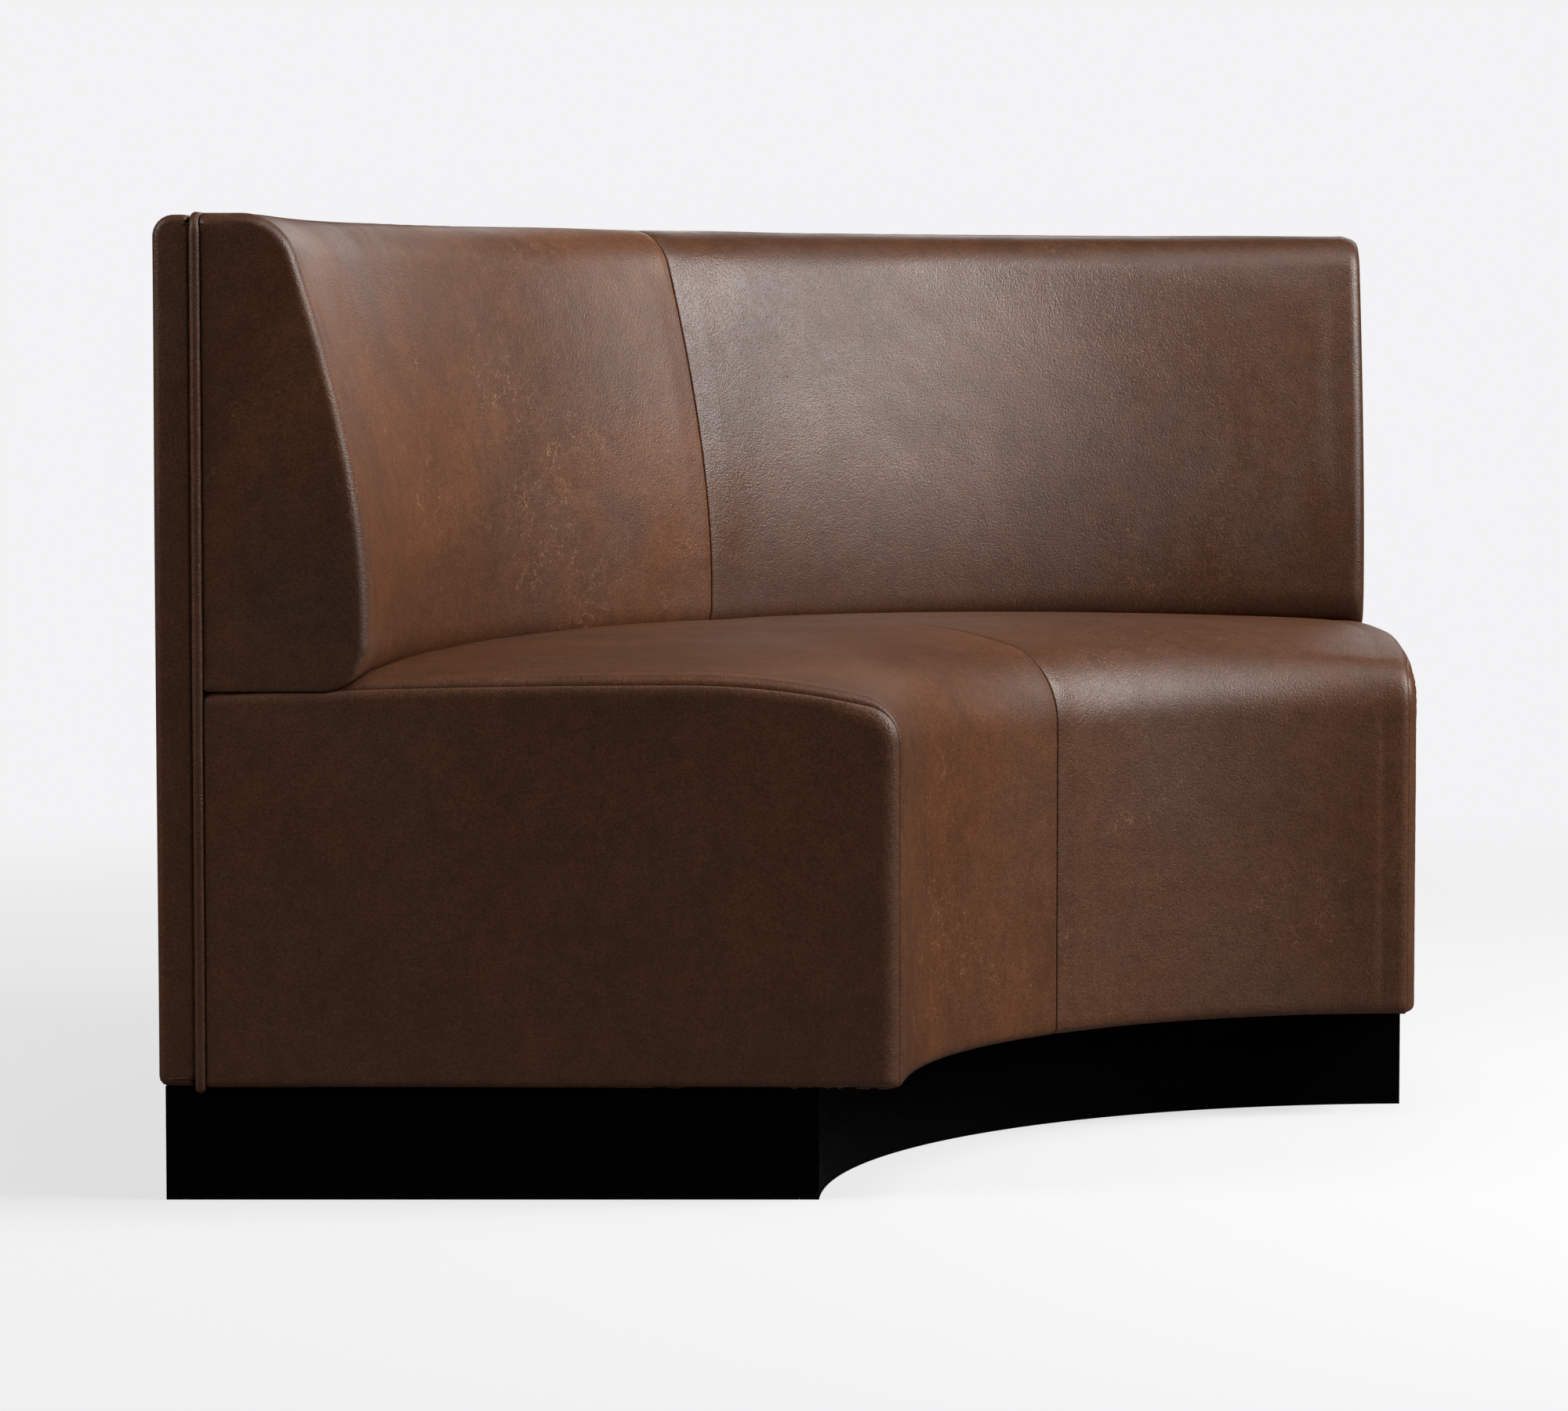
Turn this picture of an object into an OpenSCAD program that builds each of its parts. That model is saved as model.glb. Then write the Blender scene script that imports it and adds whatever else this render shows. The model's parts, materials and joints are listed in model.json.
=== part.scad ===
// Quarter-round upholstered banquette on a recessed plinth.
// The sitter faces -Y. The arc centre lies in front of the seat, on the plane X = 0.
// Depths run from the outside back towards the sitter, heights run from the floor.

/* [Plan] */
// Radius of the outside back
back_r = 1250; // [1150:10:1600]
// Angle between the radial lines through the two ends
sector = 90; // [70:1:100]
// Distance of each end face inside its radial line
end_trim = 15; // [5:1:30]
// Depth from the outside back to the seat front
seat_d = 694; // [640:1:760]

/* [Plinth] */
// Height of the plinth
plinth_h = 107; // [80:1:150]
// Toe recess of the plinth behind the seat front
toe_recess = 79; // [50:1:110]
// Distance of the plinth inside the rear and the end faces
plinth_inset = 6; // [2:1:15]
// Thickness of the plinth boards
plinth_t = 18; // [12:1:24]

/* [Seat] */
// Height of the seat crown at the middle
seat_h = 511; // [480:1:540]
// Rise of the seat crown above the underside of the back
seat_rise = 36; // [30:1:45]
// Loss of crown height from the middle of the seat to its end seams
seat_fall = 29; // [15:1:32]
// Share of that loss that is taken close to the end seam
edge_share = 0.35; // [0.1:0.05:0.6]
// Width over which the leather rolls down to the end seam
edge_run = 25; // [15:1:40]
// Drop of the crown from its highest line to the front roll, at the middle
front_drop = 17; // [12:0.5:22]
// The same drop at the end seams
end_drop = 20; // [12:0.5:26]
// Slope of the crown where the front roll starts, in degrees
front_slope = 13; // [9:0.5:16]
// Drop of the crown from its highest line to the crease
crease_drop = 8; // [3:0.5:12]
// Radius of the front roll at the middle
roll_r = 80; // [50:1:90]
// Radius of the front roll at the end seams
end_roll_r = 35; // [20:1:45]
// Pull of the end seams behind the seat front
end_draw = 5; // [2:0.5:9]
// Radius of the end panel's soft edge
end_edge = 8; // [5:0.5:8.5]
// Foam in front of the front panel
front_foam = 20; // [14:1:30]
// Radius of the turn at the foot of the seat front
hem_r = 7; // [5:0.5:9]
// Width of the hem that is turned under behind the front panel's face
hem_w = 8; // [5:0.5:9]

/* [Back] */
// Rise of the inside back above the outside back's top edge
back_rise = 2; // [0:0.5:4]
// Depth of the back at its fullest, above the seat
back_d = 198.5; // [185:0.5:230]
// Depth of the back at its top
back_top_d = 135; // [122:1:150]
// Radius of the top roll
top_roll_r = 55; // [48:1:65]
// Lean of the back below the top roll, in degrees
back_lean = 18; // [15:0.5:20]
// Radius of the lower roll behind the crease
low_roll_r = 45; // [38:1:52]
// Straight height above the lower roll
lumbar_h = 20; // [10:1:40]
// Radius of the soft edge at the ends of the back
back_edge = 10; // [6:0.5:12]
// Width of the leather's hem under the lower roll
back_hem = 20; // [12:1:28]
// Foam between the leather and the face panel
back_foam_t = 35; // [30:1:38]

/* [Outside back] */
// Thickness of the outside back panel with its leather
slab_t = 34; // [28:1:40]
// Height of the outside back's top edge
slab_h = 916; // [860:2:1040]
// Radius of the rear top corner
slab_top_r = 20; // [14:1:24]
// Radius of the rear bottom corner
slab_foot_r = 9; // [8:1:12]
// Radius of the upright corners at the ends
slab_side_r = 8; // [8:0.5:12]
// Padding under the leather of the outside back
slab_pad = 5; // [3:0.5:7]
// Diameter of the welt between the outside back and the seat
welt_d = 10; // [7:0.5:10]
// Height of the welt's top above the outside back's edge
welt_rise = 2.8; // [1:0.1:4]
// Inner bend of the welt at the top corners, to its centre line
welt_bend = 14; // [10:1:24]
// Depth of the welt's centre line behind the end faces
welt_sink = 1; // [0.5:0.5:3]
// Drop of the welt's foot below the hem
welt_drop = 1; // [0:0.5:3]
// Room left beside the welt
welt_gap = 1; // [0.5:0.25:2]

/* [Frame] */
// Thickness of the base board and the deck
deck_t = 15; // [12:1:18]
// Height of the deck's underside
deck_z = 380; // [340:1:390]
// Thickness of ribs, end boards, shelf and back plates
rib_t = 18; // [15:1:20]
// Thickness of the bent front panel
front_t = 9; // [6:0.5:12]
// Depth of the shelf that carries the back
shelf_d = 212; // [200:1:220]
// Thickness of the bent face panel of the back
face_t = 5; // [4:0.5:8]
// Thickness of the bent rear rails
rail_t = 12; // [9:1:15]
// Width of the bent rear rails
rail_w = 70; // [50:1:90]
// Distance of the seat's rear rail below the shelf
seat_rail_drop = 12; // [6:1:20]
// Height of the back's lower rail above the bottom plate
low_rail_rise = 40; // [20:1:60]
// Distance of the back's upper rail below the top plate
high_rail_drop = 20; // [10:1:40]
// Leg of the triangular glue blocks in the plinth's corners
block_leg = 42; // [30:1:60]
// Blunted tip of the glue blocks, and their distance below the base board
block_cut = 5; // [3:1:8]
// Radius of the holes that lighten the seat ribs
rib_hole_r = 50; // [30:1:60]
// Radius of the holes that lighten the back ribs
back_hole_r = 20; // [12:1:24]
// Radius of the breather holes in the deck
breather_r = 12; // [8:1:18]
// Rearward lean of the row of holes in the back ribs, from the lowest to the highest
hole_lean = 17; // [10:1:20]

/* [Leather and fit] */
// Thickness of the leather
leather_t = 2; // [1.5:0.1:2.5]
// Padding on the end boards
end_pad = 8; // [7.5:0.5:12]
// Depth of the sewn valleys
seam_dip = 1.5; // [1:0.5:4]
// Half width of the sewn valleys
seam_half = 9; // [6:0.5:14]
// Clearance between fitted pieces
gap = 0.3; // [0.2:0.05:0.5]

/* [Fasteners] */
// Diameter of the wood screws
screw_d = 5; // [4:0.5:6]
// Length of the wood screws
screw_l = 40; // [34:1:45]
// Distance of the outer deck screws from the deck's front and rear
deck_screw_edge = 60; // [40:1:80]
// Diameter of the bolts that hold the back on the shelf
bolt_d = 8; // [6:1:10]
// Distance of those bolts from the rear of the frame
bolt_inset = 45; // [38:1:52]
// Length of the bolts above the bottom plate
bolt_end = 6; // [3:1:12]
// Thickness of the tee nuts' flanges
nut_t = 1.5; // [1:0.1:2]

/* [Hidden] */

// Facets of the large arcs and of small round pieces
arc_fn = 240;
small_fn = 48;

// Reach of a cut past the face it opens, and of the slabs past the rear
cut = 1;
past_rear = 10;

// Angles, measured from the middle of the seat
half = sector / 2;
rib_angles = [-half / 2, 0, half / 2];
bolt_angles = [-0.75 * half, -0.25 * half, 0.25 * half, 0.75 * half];

// Distances inside the radial line of each end, from the leather inwards
e_face = end_trim;
e_pad = e_face + leather_t + gap;
e_board = e_face + leather_t + end_pad;
e_rib = e_board + rib_t;
e_seam = e_face + end_edge;
e_even = e_board + edge_run;
e_plinth = e_face + plinth_inset;

// Depths from the outside back
u_frame = slab_t + gap;
u_cover = slab_t + welt_d + welt_gap;
u_welt = (slab_t + u_cover) / 2;
u_panel = seat_d - leather_t - front_foam;
u_front_rib = u_panel - front_t;
u_step = shelf_d - rail_t;
u_hem = u_panel - hem_w;
u_roll = back_d - low_roll_r;
u_back_hem = u_roll - back_hem;
u_plinth = seat_d - toe_recess;
u_bolt = u_frame + bolt_inset;

// Clearances of curved faces: over the seat's leather, and under it
over_cover = 0.8;
under_cover = 0.5;

// Heights from the floor
back_h = slab_h + back_rise;
z_back = seat_h - seat_rise;
z_cover = z_back - over_cover;
z_shelf = z_cover - leather_t - under_cover;
z_deck = deck_z + deck_t;
z_base = plinth_h + deck_t;
z_low_roll = z_back + low_roll_r;
z_plate = z_back + leather_t + gap;
z_plate_top = z_plate + rib_t;
z_frame_top = back_h - leather_t - back_foam_t;
z_hem = plinth_h - leather_t - gap;

// Frame line of the back, measured inwards from its leather
in_foam = leather_t + gap;
in_face = leather_t + back_foam_t;
in_rib = in_face + face_t;

// The arc centre, set so that the origin is the middle of the outline in plan
corner_r = back_r - seat_d + end_draw + end_edge;
y_front = corner_r * cos(half) + e_seam * sin(half) - end_edge;
arc_y = -(back_r + y_front) / 2;

function mix(a, b, t) = a + (b - a) * t;
function clamp(x) = max(0, min(1, x));

// A depth and height, as radius and height about the arc centre
function rz(p) = [back_r - p[0], p[1]];
function rzs(pts) = [for (p = pts) rz(p)];

// An open outline moved to its right-hand side by d, on the mean normal of its edges
function unit(v) = v / norm(v);
function normal_at(pts, i) =
  let (a = pts[max(i - 1, 0)], b = pts[i], c = pts[min(i + 1, len(pts) - 1)],
       t1 = i > 0 ? unit(b - a) : unit(c - b), t2 = i < len(pts) - 1 ? unit(c - b) : t1,
       t = unit(t1 + t2), k = 1 / max(0.5, (t * t1)))
  [t[1], -t[0]] * k;
function inset_line(pts, d) = [for (i = [0:len(pts) - 1]) pts[i] + d * normal_at(pts, i)];

// Round stretch of an outline
function arc_pts(c, r, a0, a1, n) = [for (i = [0:n]) let (a = mix(a0, a1, i / n)) c + r * [cos(a), sin(a)]];

// Outline of the back from its top rear edge to its foot, as depth and height
top_c = [back_top_d - top_roll_r, back_h - top_roll_r];
lean_start = top_c + top_roll_r * [cos(back_lean), sin(back_lean)];
lean_knee = [back_d, lean_start[1] - (back_d - lean_start[0]) / tan(back_lean)];
lumbar = [back_d, z_low_roll + lumbar_h];
function bend(a, b, c, t) = a * (1 - t) * (1 - t) + b * 2 * t * (1 - t) + c * t * t;
back_upper = concat(
  [[u_cover, back_h]],
  arc_pts(top_c, top_roll_r, 90, back_lean, 5),
  [for (i = [1:4]) bend(lean_start, lean_knee, lumbar, i / 5)],
  [lumbar]);
back_lower = arc_pts([u_roll, z_low_roll], low_roll_r, 0, -90, 5);
back_line = concat(back_upper, back_lower, [[u_back_hem, z_back]]);

// Underside of the back above a point of the seat, with the clearance taken off
function under_back(u) =
  u <= u_roll ? z_cover :
  u >= back_d ? back_h :
  let (r = low_roll_r + z_back - z_cover)
  z_low_roll - sqrt(max(0, r * r - (u - u_roll) * (u - u_roll)));

// Outline of the seat from its rear edge over the crown and the roll to the hem.
// w is 0 at the end seams and 1 at the middle, q is 0 at the end seams and 1 past the edge.
function crown(u, peak_u, peak_z, drop, rear_drop) =
  u > peak_u ? peak_z - drop * pow((u - peak_u) * tan(front_slope) / (2 * drop), 2)
             : peak_z - rear_drop * pow((peak_u - u) / (peak_u - back_d), 2);
seat_under = concat([u_cover, (u_cover + u_roll) / 2], [for (a = [0:18:72]) u_roll + low_roll_r * sin(a)]);
function seat_line(w, q) =
  let (peak_z = seat_h - seat_fall * (1 - w), front = seat_d - end_draw * (1 - q),
       r = mix(end_roll_r, roll_r, w), join_u = front - r * (1 - sin(front_slope)),
       drop = mix(end_drop, front_drop, w), peak_u = join_u - 2 * drop / tan(front_slope),
       join_z = peak_z - drop, rear_drop = mix(crease_drop / 2, crease_drop, w),
       c = [front - r, join_z - r * cos(front_slope)])
  concat(
    [for (u = seat_under) [u, min(crown(u, peak_u, peak_z, drop, rear_drop), under_back(u))]],
    [for (i = [0:crown_pts - 1]) let (u = mix(shelf_d + gap, join_u, i / (crown_pts - 0.4)))
      [u, crown(u, peak_u, peak_z, drop, rear_drop)]],
    arc_pts(c, r, 90 - front_slope, 0, 5),
    arc_pts([front - hem_r, z_hem + hem_r], hem_r, 0, -90, 2),
    [[u_hem, z_hem]]);
// Points of that outline on the crown in front of the back, and on the hem
crown_pts = 6;
hem_pts = 4;

// A station of a cover: f runs from 0 at the seam to 1 at the end, m is the distance from the
// middle plane and e the distance inside the radial line of the end
function seam_stations(n) = [for (m = [0.15, 0.25 * seam_half, 0.55 * seam_half, seam_half]) [0, m, e_even]];
mid_stations = [for (i = [1:8]) [i / 9, seam_half, e_even]];
function end_stations(list) = [for (e = list) [1, seam_half, e]];
function angle_at(st, r) = mix(asin(st[1] / r), half - asin(st[2] / r), st[0]);
function place(st, p) = let (r = back_r - p[0], a = angle_at(st, r)) [r * sin(a), arc_y + r * cos(a), p[1]];
function dip(st) = st[0] > 0 ? 0 : seam_dip * pow(1 - clamp(st[1] / seam_half), 2);
function near_end(st) =
  st[0] < 1 ? 1 : let (t = clamp((st[2] - e_seam) / (e_even - e_seam))) sqrt(1 - (1 - t) * (1 - t));
function fullness(st) = edge_share * near_end(st) + (1 - edge_share) * (1 - st[0] * st[0]);
function seat_section(st, d) = inset_line(seat_line(fullness(st), near_end(st)), d + dip(st));
function back_round(st) =
  st[0] < 1 ? 0 :
  let (x = max(0, back_edge - (st[2] - e_face)))
  back_edge - sqrt(back_edge * back_edge - x * x);
function back_section(st, d) = inset_line(back_line, d + dip(st) + back_round(st));

// Strips between neighbouring rows of equal length, and the fan-free rims of a shell
function strip_faces(rows, cols, at, flip) =
  [for (i = [0:rows - 2], j = [0:cols - 2])
    let (a = at + i * cols + j, b = a + 1, c = b + cols, d = a + cols)
    flip ? [a, b, c, d] : [a, d, c, b]];
function flat_list(ll) = [for (l = ll) for (x = l) x];

// Open leather sheet of the given rows, with a thickness: outer rows first, then inner rows
module sheet(outer, inner, flip = false) {
  n = len(outer);
  m = len(outer[0]);
  k = n * m;
  points = concat(flat_list(outer), flat_list(inner));
  rim = concat(
    [for (i = [0:n - 2]) [i * m, k + i * m, k + (i + 1) * m, (i + 1) * m]],
    [for (i = [0:n - 2]) let (a = i * m + m - 1) [a, a + m, k + a + m, k + a]],
    [for (j = [0:m - 2]) [j, j + 1, k + j + 1, k + j]],
    [for (j = [0:m - 2]) let (a = (n - 1) * m + j) [a, k + a, k + a + 1, a + 1]]);
  faces = concat(strip_faces(n, m, 0, false), strip_faces(n, m, k, true), rim);
  polyhedron(points, flip ? [for (f = faces) [for (i = [len(f) - 1:-1:0]) f[i]]] : faces, convexity = 10);
}

// Closed body through rows of closed outlines
module loft(rows) {
  n = len(rows);
  m = len(rows[0]);
  sides = [for (i = [0:n - 2], j = [0:m - 1])
    let (a = i * m + j, b = i * m + (j + 1) % m) [a, a + m, b + m, b]];
  caps = [[for (j = [0:m - 1]) j], [for (j = [m - 1:-1:0]) (n - 1) * m + j]];
  polyhedron(flat_list(rows), concat(sides, caps), convexity = 10);
}

module both(side) {
  if (side > 0) children();
  else mirror([1, 0, 0]) children();
}

module at_arc() { translate([0, arc_y, 0]) children(); }

// A spot at an angle from the middle and a depth, with local +Y away from the arc centre
module spot(angle, u, z) { at_arc() rotate([0, 0, -angle]) translate([0, back_r - u, z]) children(); }

// Local X runs along the end's radial line, local Y into the bench
module at_end(side) { both(side) at_arc() rotate([0, 0, 90 - half]) children(); }

// Everything between the two end planes at the distance e inside their radial lines
module between_ends(e) {
  reach = 2 * back_r;
  start = e / sin(half);
  at_arc() linear_extrude(height = 2 * back_h)
    polygon([[0, start], [reach * sin(half), start + reach * cos(half)],
             [0, 2 * reach], [-reach * sin(half), start + reach * cos(half)]]);
}

// Curved board between two depths and two heights
module arc_board(u0, u1, z0, z1, e) {
  intersection() {
    at_arc() translate([0, 0, z0]) difference() {
      cylinder(r = back_r - u0, h = z1 - z0, $fn = arc_fn);
      translate([0, 0, -cut]) cylinder(r = back_r - u1, h = z1 - z0 + 2 * cut, $fn = arc_fn);
    }
    between_ends(e);
  }
}

// Body of revolution from an outline in depth and height
module arc_body(pts) { at_arc() rotate_extrude($fn = arc_fn) polygon(rzs(pts)); }

// Upright radial slab at an angle from the middle
module radial_slab(angle, t) {
  spot(angle, back_r, 0) translate([-t / 2, 0, 0]) cube([t, back_r + past_rear, back_h]);
}

// Upright slab parallel to an end face
module end_slab(side, e0, e1) {
  at_end(side) translate([0, e0, 0]) cube([back_r + past_rear, e1 - e0, back_h]);
}

// Plate parallel to an end face, from an outline in depth and height
module end_plate(side, e0, e1, pts) {
  at_end(side) translate([0, e1, 0]) rotate([90, 0, 0]) linear_extrude(height = e1 - e0) polygon(rzs(pts));
}

// Countersunk wood screw, its head's face at the local origin, pointing along -Z
module screw(l) {
  rotate([180, 0, 0]) rotate_extrude($fn = small_fn)
    polygon([[0, 0], [screw_d, 0], [screw_d / 2, screw_d / 2], [screw_d / 2, l - screw_d], [0, l]]);
}
module screw_hole(l) {
  r = screw_d / 2 + gap / 2;
  rotate([180, 0, 0]) translate([0, 0, -cut]) rotate_extrude($fn = small_fn)
    polygon([[0, 0], [2 * r, 0], [2 * r, cut], [r, cut + r], [r, l + 2 * cut], [0, l + 2 * cut]]);
}

// Plinth

module plinth_front_rail() {
  color("#15110f") arc_board(u_plinth - plinth_t, u_plinth, 0, plinth_h - gap, e_plinth);
}

module plinth_rear_rail() {
  color("#15110f") arc_board(plinth_inset, plinth_inset + plinth_t, 0, plinth_h - gap, e_plinth);
}

module plinth_end(side) {
  color("#15110f") intersection() {
    arc_board(plinth_inset + plinth_t + gap, u_plinth - plinth_t - gap, 0, plinth_h - gap, e_plinth);
    end_slab(side, e_plinth, e_plinth + plinth_t);
  }
}
module plinth_left_end() { plinth_end(-1); }
module plinth_right_end() { plinth_end(1); }

screw_depths = [u_plinth * 0.2, u_plinth * 0.5, u_plinth * 0.8];
module plinth_stretcher(angle) {
  color("#b08a5a") difference() {
    intersection() {
      arc_board(plinth_inset + plinth_t + gap, u_plinth - plinth_t - gap, 0, plinth_h - gap, e_plinth);
      radial_slab(angle, plinth_t);
    }
    for (u = screw_depths) spot(angle, u, z_base) screw_hole(screw_l);
  }
}
module plinth_left_stretcher() { plinth_stretcher(rib_angles[0]); }
module plinth_center_stretcher() { plinth_stretcher(rib_angles[1]); }
module plinth_right_stretcher() { plinth_stretcher(rib_angles[2]); }

// Triangular glue blocks in the four inner corners of the plinth
module plinth_corner_blocks() {
  inner = plinth_inset + plinth_t + gap;
  outer = u_plinth - plinth_t - gap;
  e = e_plinth + plinth_t + gap;
  color("#c29a66") for (side = [-1, 1], front = [false, true])
    intersection() {
      arc_board(inner, outer, gap, plinth_h - block_cut, e_plinth);
      at_end(side) translate([back_r - (front ? outer : inner), e, 0])
        mirror([front ? 0 : 1, 0, 0]) translate([-block_cut, 0, 0]) linear_extrude(height = plinth_h)
        polygon([[0, 0], [block_leg + block_cut, 0], [block_cut, block_leg], [0, block_leg]]);
    }
}

module plinth_screws() {
  color("#c8c4b8") for (a = rib_angles, u = screw_depths) spot(a, u, z_base - gap) screw(screw_l);
}

// Seat box

module base_board() {
  color("#c9a877") difference() {
    arc_board(u_frame, u_panel, plinth_h, z_base, e_board);
    for (a = rib_angles, u = screw_depths) spot(a, u, z_base) screw_hole(screw_l);
  }
}

// Stepped outline of the ribs and end boards: deck level in front, shelf level at the rear
rib_line = [[u_frame, z_base + gap], [u_front_rib - gap, z_base + gap], [u_front_rib - gap, deck_z],
            [u_step, deck_z], [u_step, z_shelf - rib_t], [u_frame, z_shelf - rib_t]];
rail_z = z_shelf - rib_t - rail_w - seat_rail_drop;
module seat_rail_slot() {
  arc_board(u_frame - cut, u_frame + rail_t + gap, rail_z - gap, rail_z + rail_w + gap, 0);
}

deck_screw_depths = [shelf_d + deck_screw_edge, (shelf_d + u_panel) / 2, u_panel - deck_screw_edge];
module deck_screw_spots() {
  for (u = deck_screw_depths) {
    for (a = rib_angles) spot(a, u, z_deck) children();
    for (side = [-1, 1]) at_end(side) translate([back_r - u, e_board + rib_t / 2, z_deck]) children();
  }
}

module seat_end_board(side) {
  color("#c9a877") difference() {
    intersection() {
      arc_body(rib_line);
      end_slab(side, e_board, e_rib);
    }
    seat_rail_slot();
    deck_screw_spots() screw_hole(screw_l);
  }
}
module seat_left_end_board() { seat_end_board(-1); }
module seat_right_end_board() { seat_end_board(1); }

module seat_rib(angle) {
  mid_z = (z_base + deck_z) / 2;
  color("#c9a877") difference() {
    intersection() {
      arc_body(rib_line);
      radial_slab(angle, rib_t);
    }
    seat_rail_slot();
    for (k = [0.2, 0.5, 0.8])
      spot(angle, mix(u_frame, u_front_rib, k), mid_z)
        rotate([0, 90, 0]) cylinder(r = rib_hole_r, h = 2 * rib_t, center = true, $fn = small_fn);
    deck_screw_spots() screw_hole(screw_l);
  }
}
module seat_left_rib() { seat_rib(rib_angles[0]); }
module seat_center_rib() { seat_rib(rib_angles[1]); }
module seat_right_rib() { seat_rib(rib_angles[2]); }

module seat_front_panel() {
  color("#d0b083") arc_board(u_front_rib, u_panel, z_base + gap, deck_z, e_board);
}

module seat_rear_rail() {
  color("#d0b083") difference() {
    arc_board(u_frame, u_frame + rail_t, rail_z, rail_z + rail_w, e_board);
    rail_screw_spots([rail_z + rail_w / 2]) screw_hole(screw_l);
  }
}

module seat_step_rail() {
  color("#d0b083") arc_board(u_step + gap, shelf_d, deck_z + gap, z_shelf - rib_t - gap, e_board);
}

module seat_shelf() {
  color("#c9a877") difference() {
    arc_board(u_frame, shelf_d, z_shelf - rib_t, z_shelf, e_board + gap);
    bolt_holes();
  }
}
module bolt_holes() {
  for (a = bolt_angles)
    spot(a, u_bolt, z_shelf - 2 * rib_t) cylinder(d = bolt_d + gap, h = 5 * rib_t, $fn = small_fn);
}

module seat_deck() {
  color("#c9a877") difference() {
    arc_board(shelf_d + gap, u_panel, deck_z + gap, z_deck, e_board);
    deck_screw_spots() screw_hole(screw_l);
    for (row = [0.2, 0.5, 0.8], k = [-3:2:3])
      spot(k * half / 4, mix(shelf_d, u_panel, row), deck_z - cut)
        cylinder(r = breather_r, h = deck_t + 2 * cut, $fn = small_fn);
  }
}

module deck_screws() { color("#c8c4b8") deck_screw_spots() translate([0, 0, -gap]) screw(screw_l); }

// Seat upholstery

seat_ends = [e_even, mix(e_board, e_even, 0.5), mix(e_board, e_even, 0.2), e_board + gap, e_seam + gap];
seat_stations = concat(seam_stations(), mid_stations, end_stations(seat_ends));

foam_stations = [for (i = [0:len(seat_stations) - 2]) seat_stations[i]];
foam_first = len(seat_under);
function foam_outline(st) =
  let (line = seat_section(st, in_foam), last = len(line) - hem_pts)
  concat([for (i = [foam_first:last - 1]) line[i]],
         [[line[last - 1][0], plinth_h + gap], [u_panel + gap, plinth_h + gap],
          [u_panel + gap, z_deck + gap], [shelf_d + gap, z_deck + gap]]);
function mirrored(row) = [for (p = row) [-p[0], p[1], p[2]]];
module seat_foam() {
  right = [for (st = foam_stations) [for (p = foam_outline(st)) place(st, p)]];
  left = [for (i = [len(right) - 1:-1:1]) mirrored(right[i])];
  color("#e8d9a8") loft(concat(left, right));
}

module seat_cover(side) {
  color("#5b3826") both(side) difference() {
    sheet([for (st = seat_stations) [for (p = seat_section(st, 0)) place(st, p)]],
          [for (st = seat_stations) [for (p = seat_section(st, leather_t)) place(st, p)]]);
    bolt_holes();
  }
}
module seat_left_cover() { seat_cover(-1); }
module seat_right_cover() { seat_cover(1); }

// The end panel is a shallow pan of leather over the padding, with a soft edge to its seam
seat_end_line = let (line = seat_line(0, 0)) [for (i = [0:len(line) - hem_pts]) line[i]];
pan_foot = plinth_h + gap;
function pan_ring(d) =
  let (line = inset_line(seat_end_line, d), last = len(line) - 1)
  concat([[u_cover, pan_foot], [u_cover, line[0][1]]], [for (i = [1:last - 1]) line[i]],
         [[line[last - 1][0], pan_foot]]);
function pan_row(r, turn) =
  let (d = end_edge - r * sin(turn), e = e_seam - r * cos(turn), wall = end_edge - r)
  [for (p = pan_ring(d)) [back_r - max(p[0], u_cover + wall), e, max(p[1], pan_foot + wall)]];
pan_turns = [0:22.5:90];
module seat_end_cover(side) {
  inner = [for (a = pan_turns) pan_row(end_edge - leather_t, a)];
  outer = [for (a = pan_turns) pan_row(end_edge, 90 - a)];
  color("#4a2e20") at_end(side) loft(concat(inner, outer));
}
module seat_left_end_cover() { seat_end_cover(-1); }
module seat_right_end_cover() { seat_end_cover(1); }

module seat_end_padding(side) {
  ring = pan_ring(leather_t + end_edge);
  low = pan_foot + leather_t + gap;
  rear = u_cover + leather_t + gap;
  color("#ece4d2") end_plate(side, e_pad, e_board - gap, [for (p = ring) [max(p[0], rear), max(p[1], low)]]);
}
module seat_left_end_padding() { seat_end_padding(-1); }
module seat_right_end_padding() { seat_end_padding(1); }

// Back frame

// Everything behind the back's outline inset by d, down to a height
module back_mass(d, low) {
  line = inset_line(back_upper, d);
  last = line[len(line) - 1];
  arc_body(concat([[u_frame, low], [u_frame, line[0][1]]], line, [[last[0], low]]));
}

module back_bottom_plate() {
  color("#c9a877") difference() {
    intersection() {
      back_mass(in_rib, z_plate);
      arc_board(u_frame, back_d, z_plate, z_plate_top, e_rib + gap);
    }
    bolt_holes();
  }
}

module back_top_plate() {
  color("#c9a877") intersection() {
    back_mass(in_rib, z_plate);
    arc_board(u_frame, back_d, z_frame_top - face_t - rib_t, z_frame_top, e_rib + gap);
  }
}

// Bent rails that lie in slots across the rear edges of the ribs
back_rail_low = z_plate_top + low_rail_rise;
back_rail_high = z_frame_top - face_t - rib_t - high_rail_drop - rail_w;
module back_rail_slots() {
  for (z = [back_rail_low, back_rail_high])
    arc_board(u_frame - cut, u_frame + rail_t + gap, z - gap, z + rail_w + gap, 0);
}

module back_end_board(side) {
  color("#c9a877") difference() {
    intersection() {
      back_mass(in_rib, z_plate);
      end_slab(side, e_board, e_rib);
    }
    back_rail_slots();
  }
}
module back_left_end_board() { back_end_board(-1); }
module back_right_end_board() { back_end_board(1); }

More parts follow.
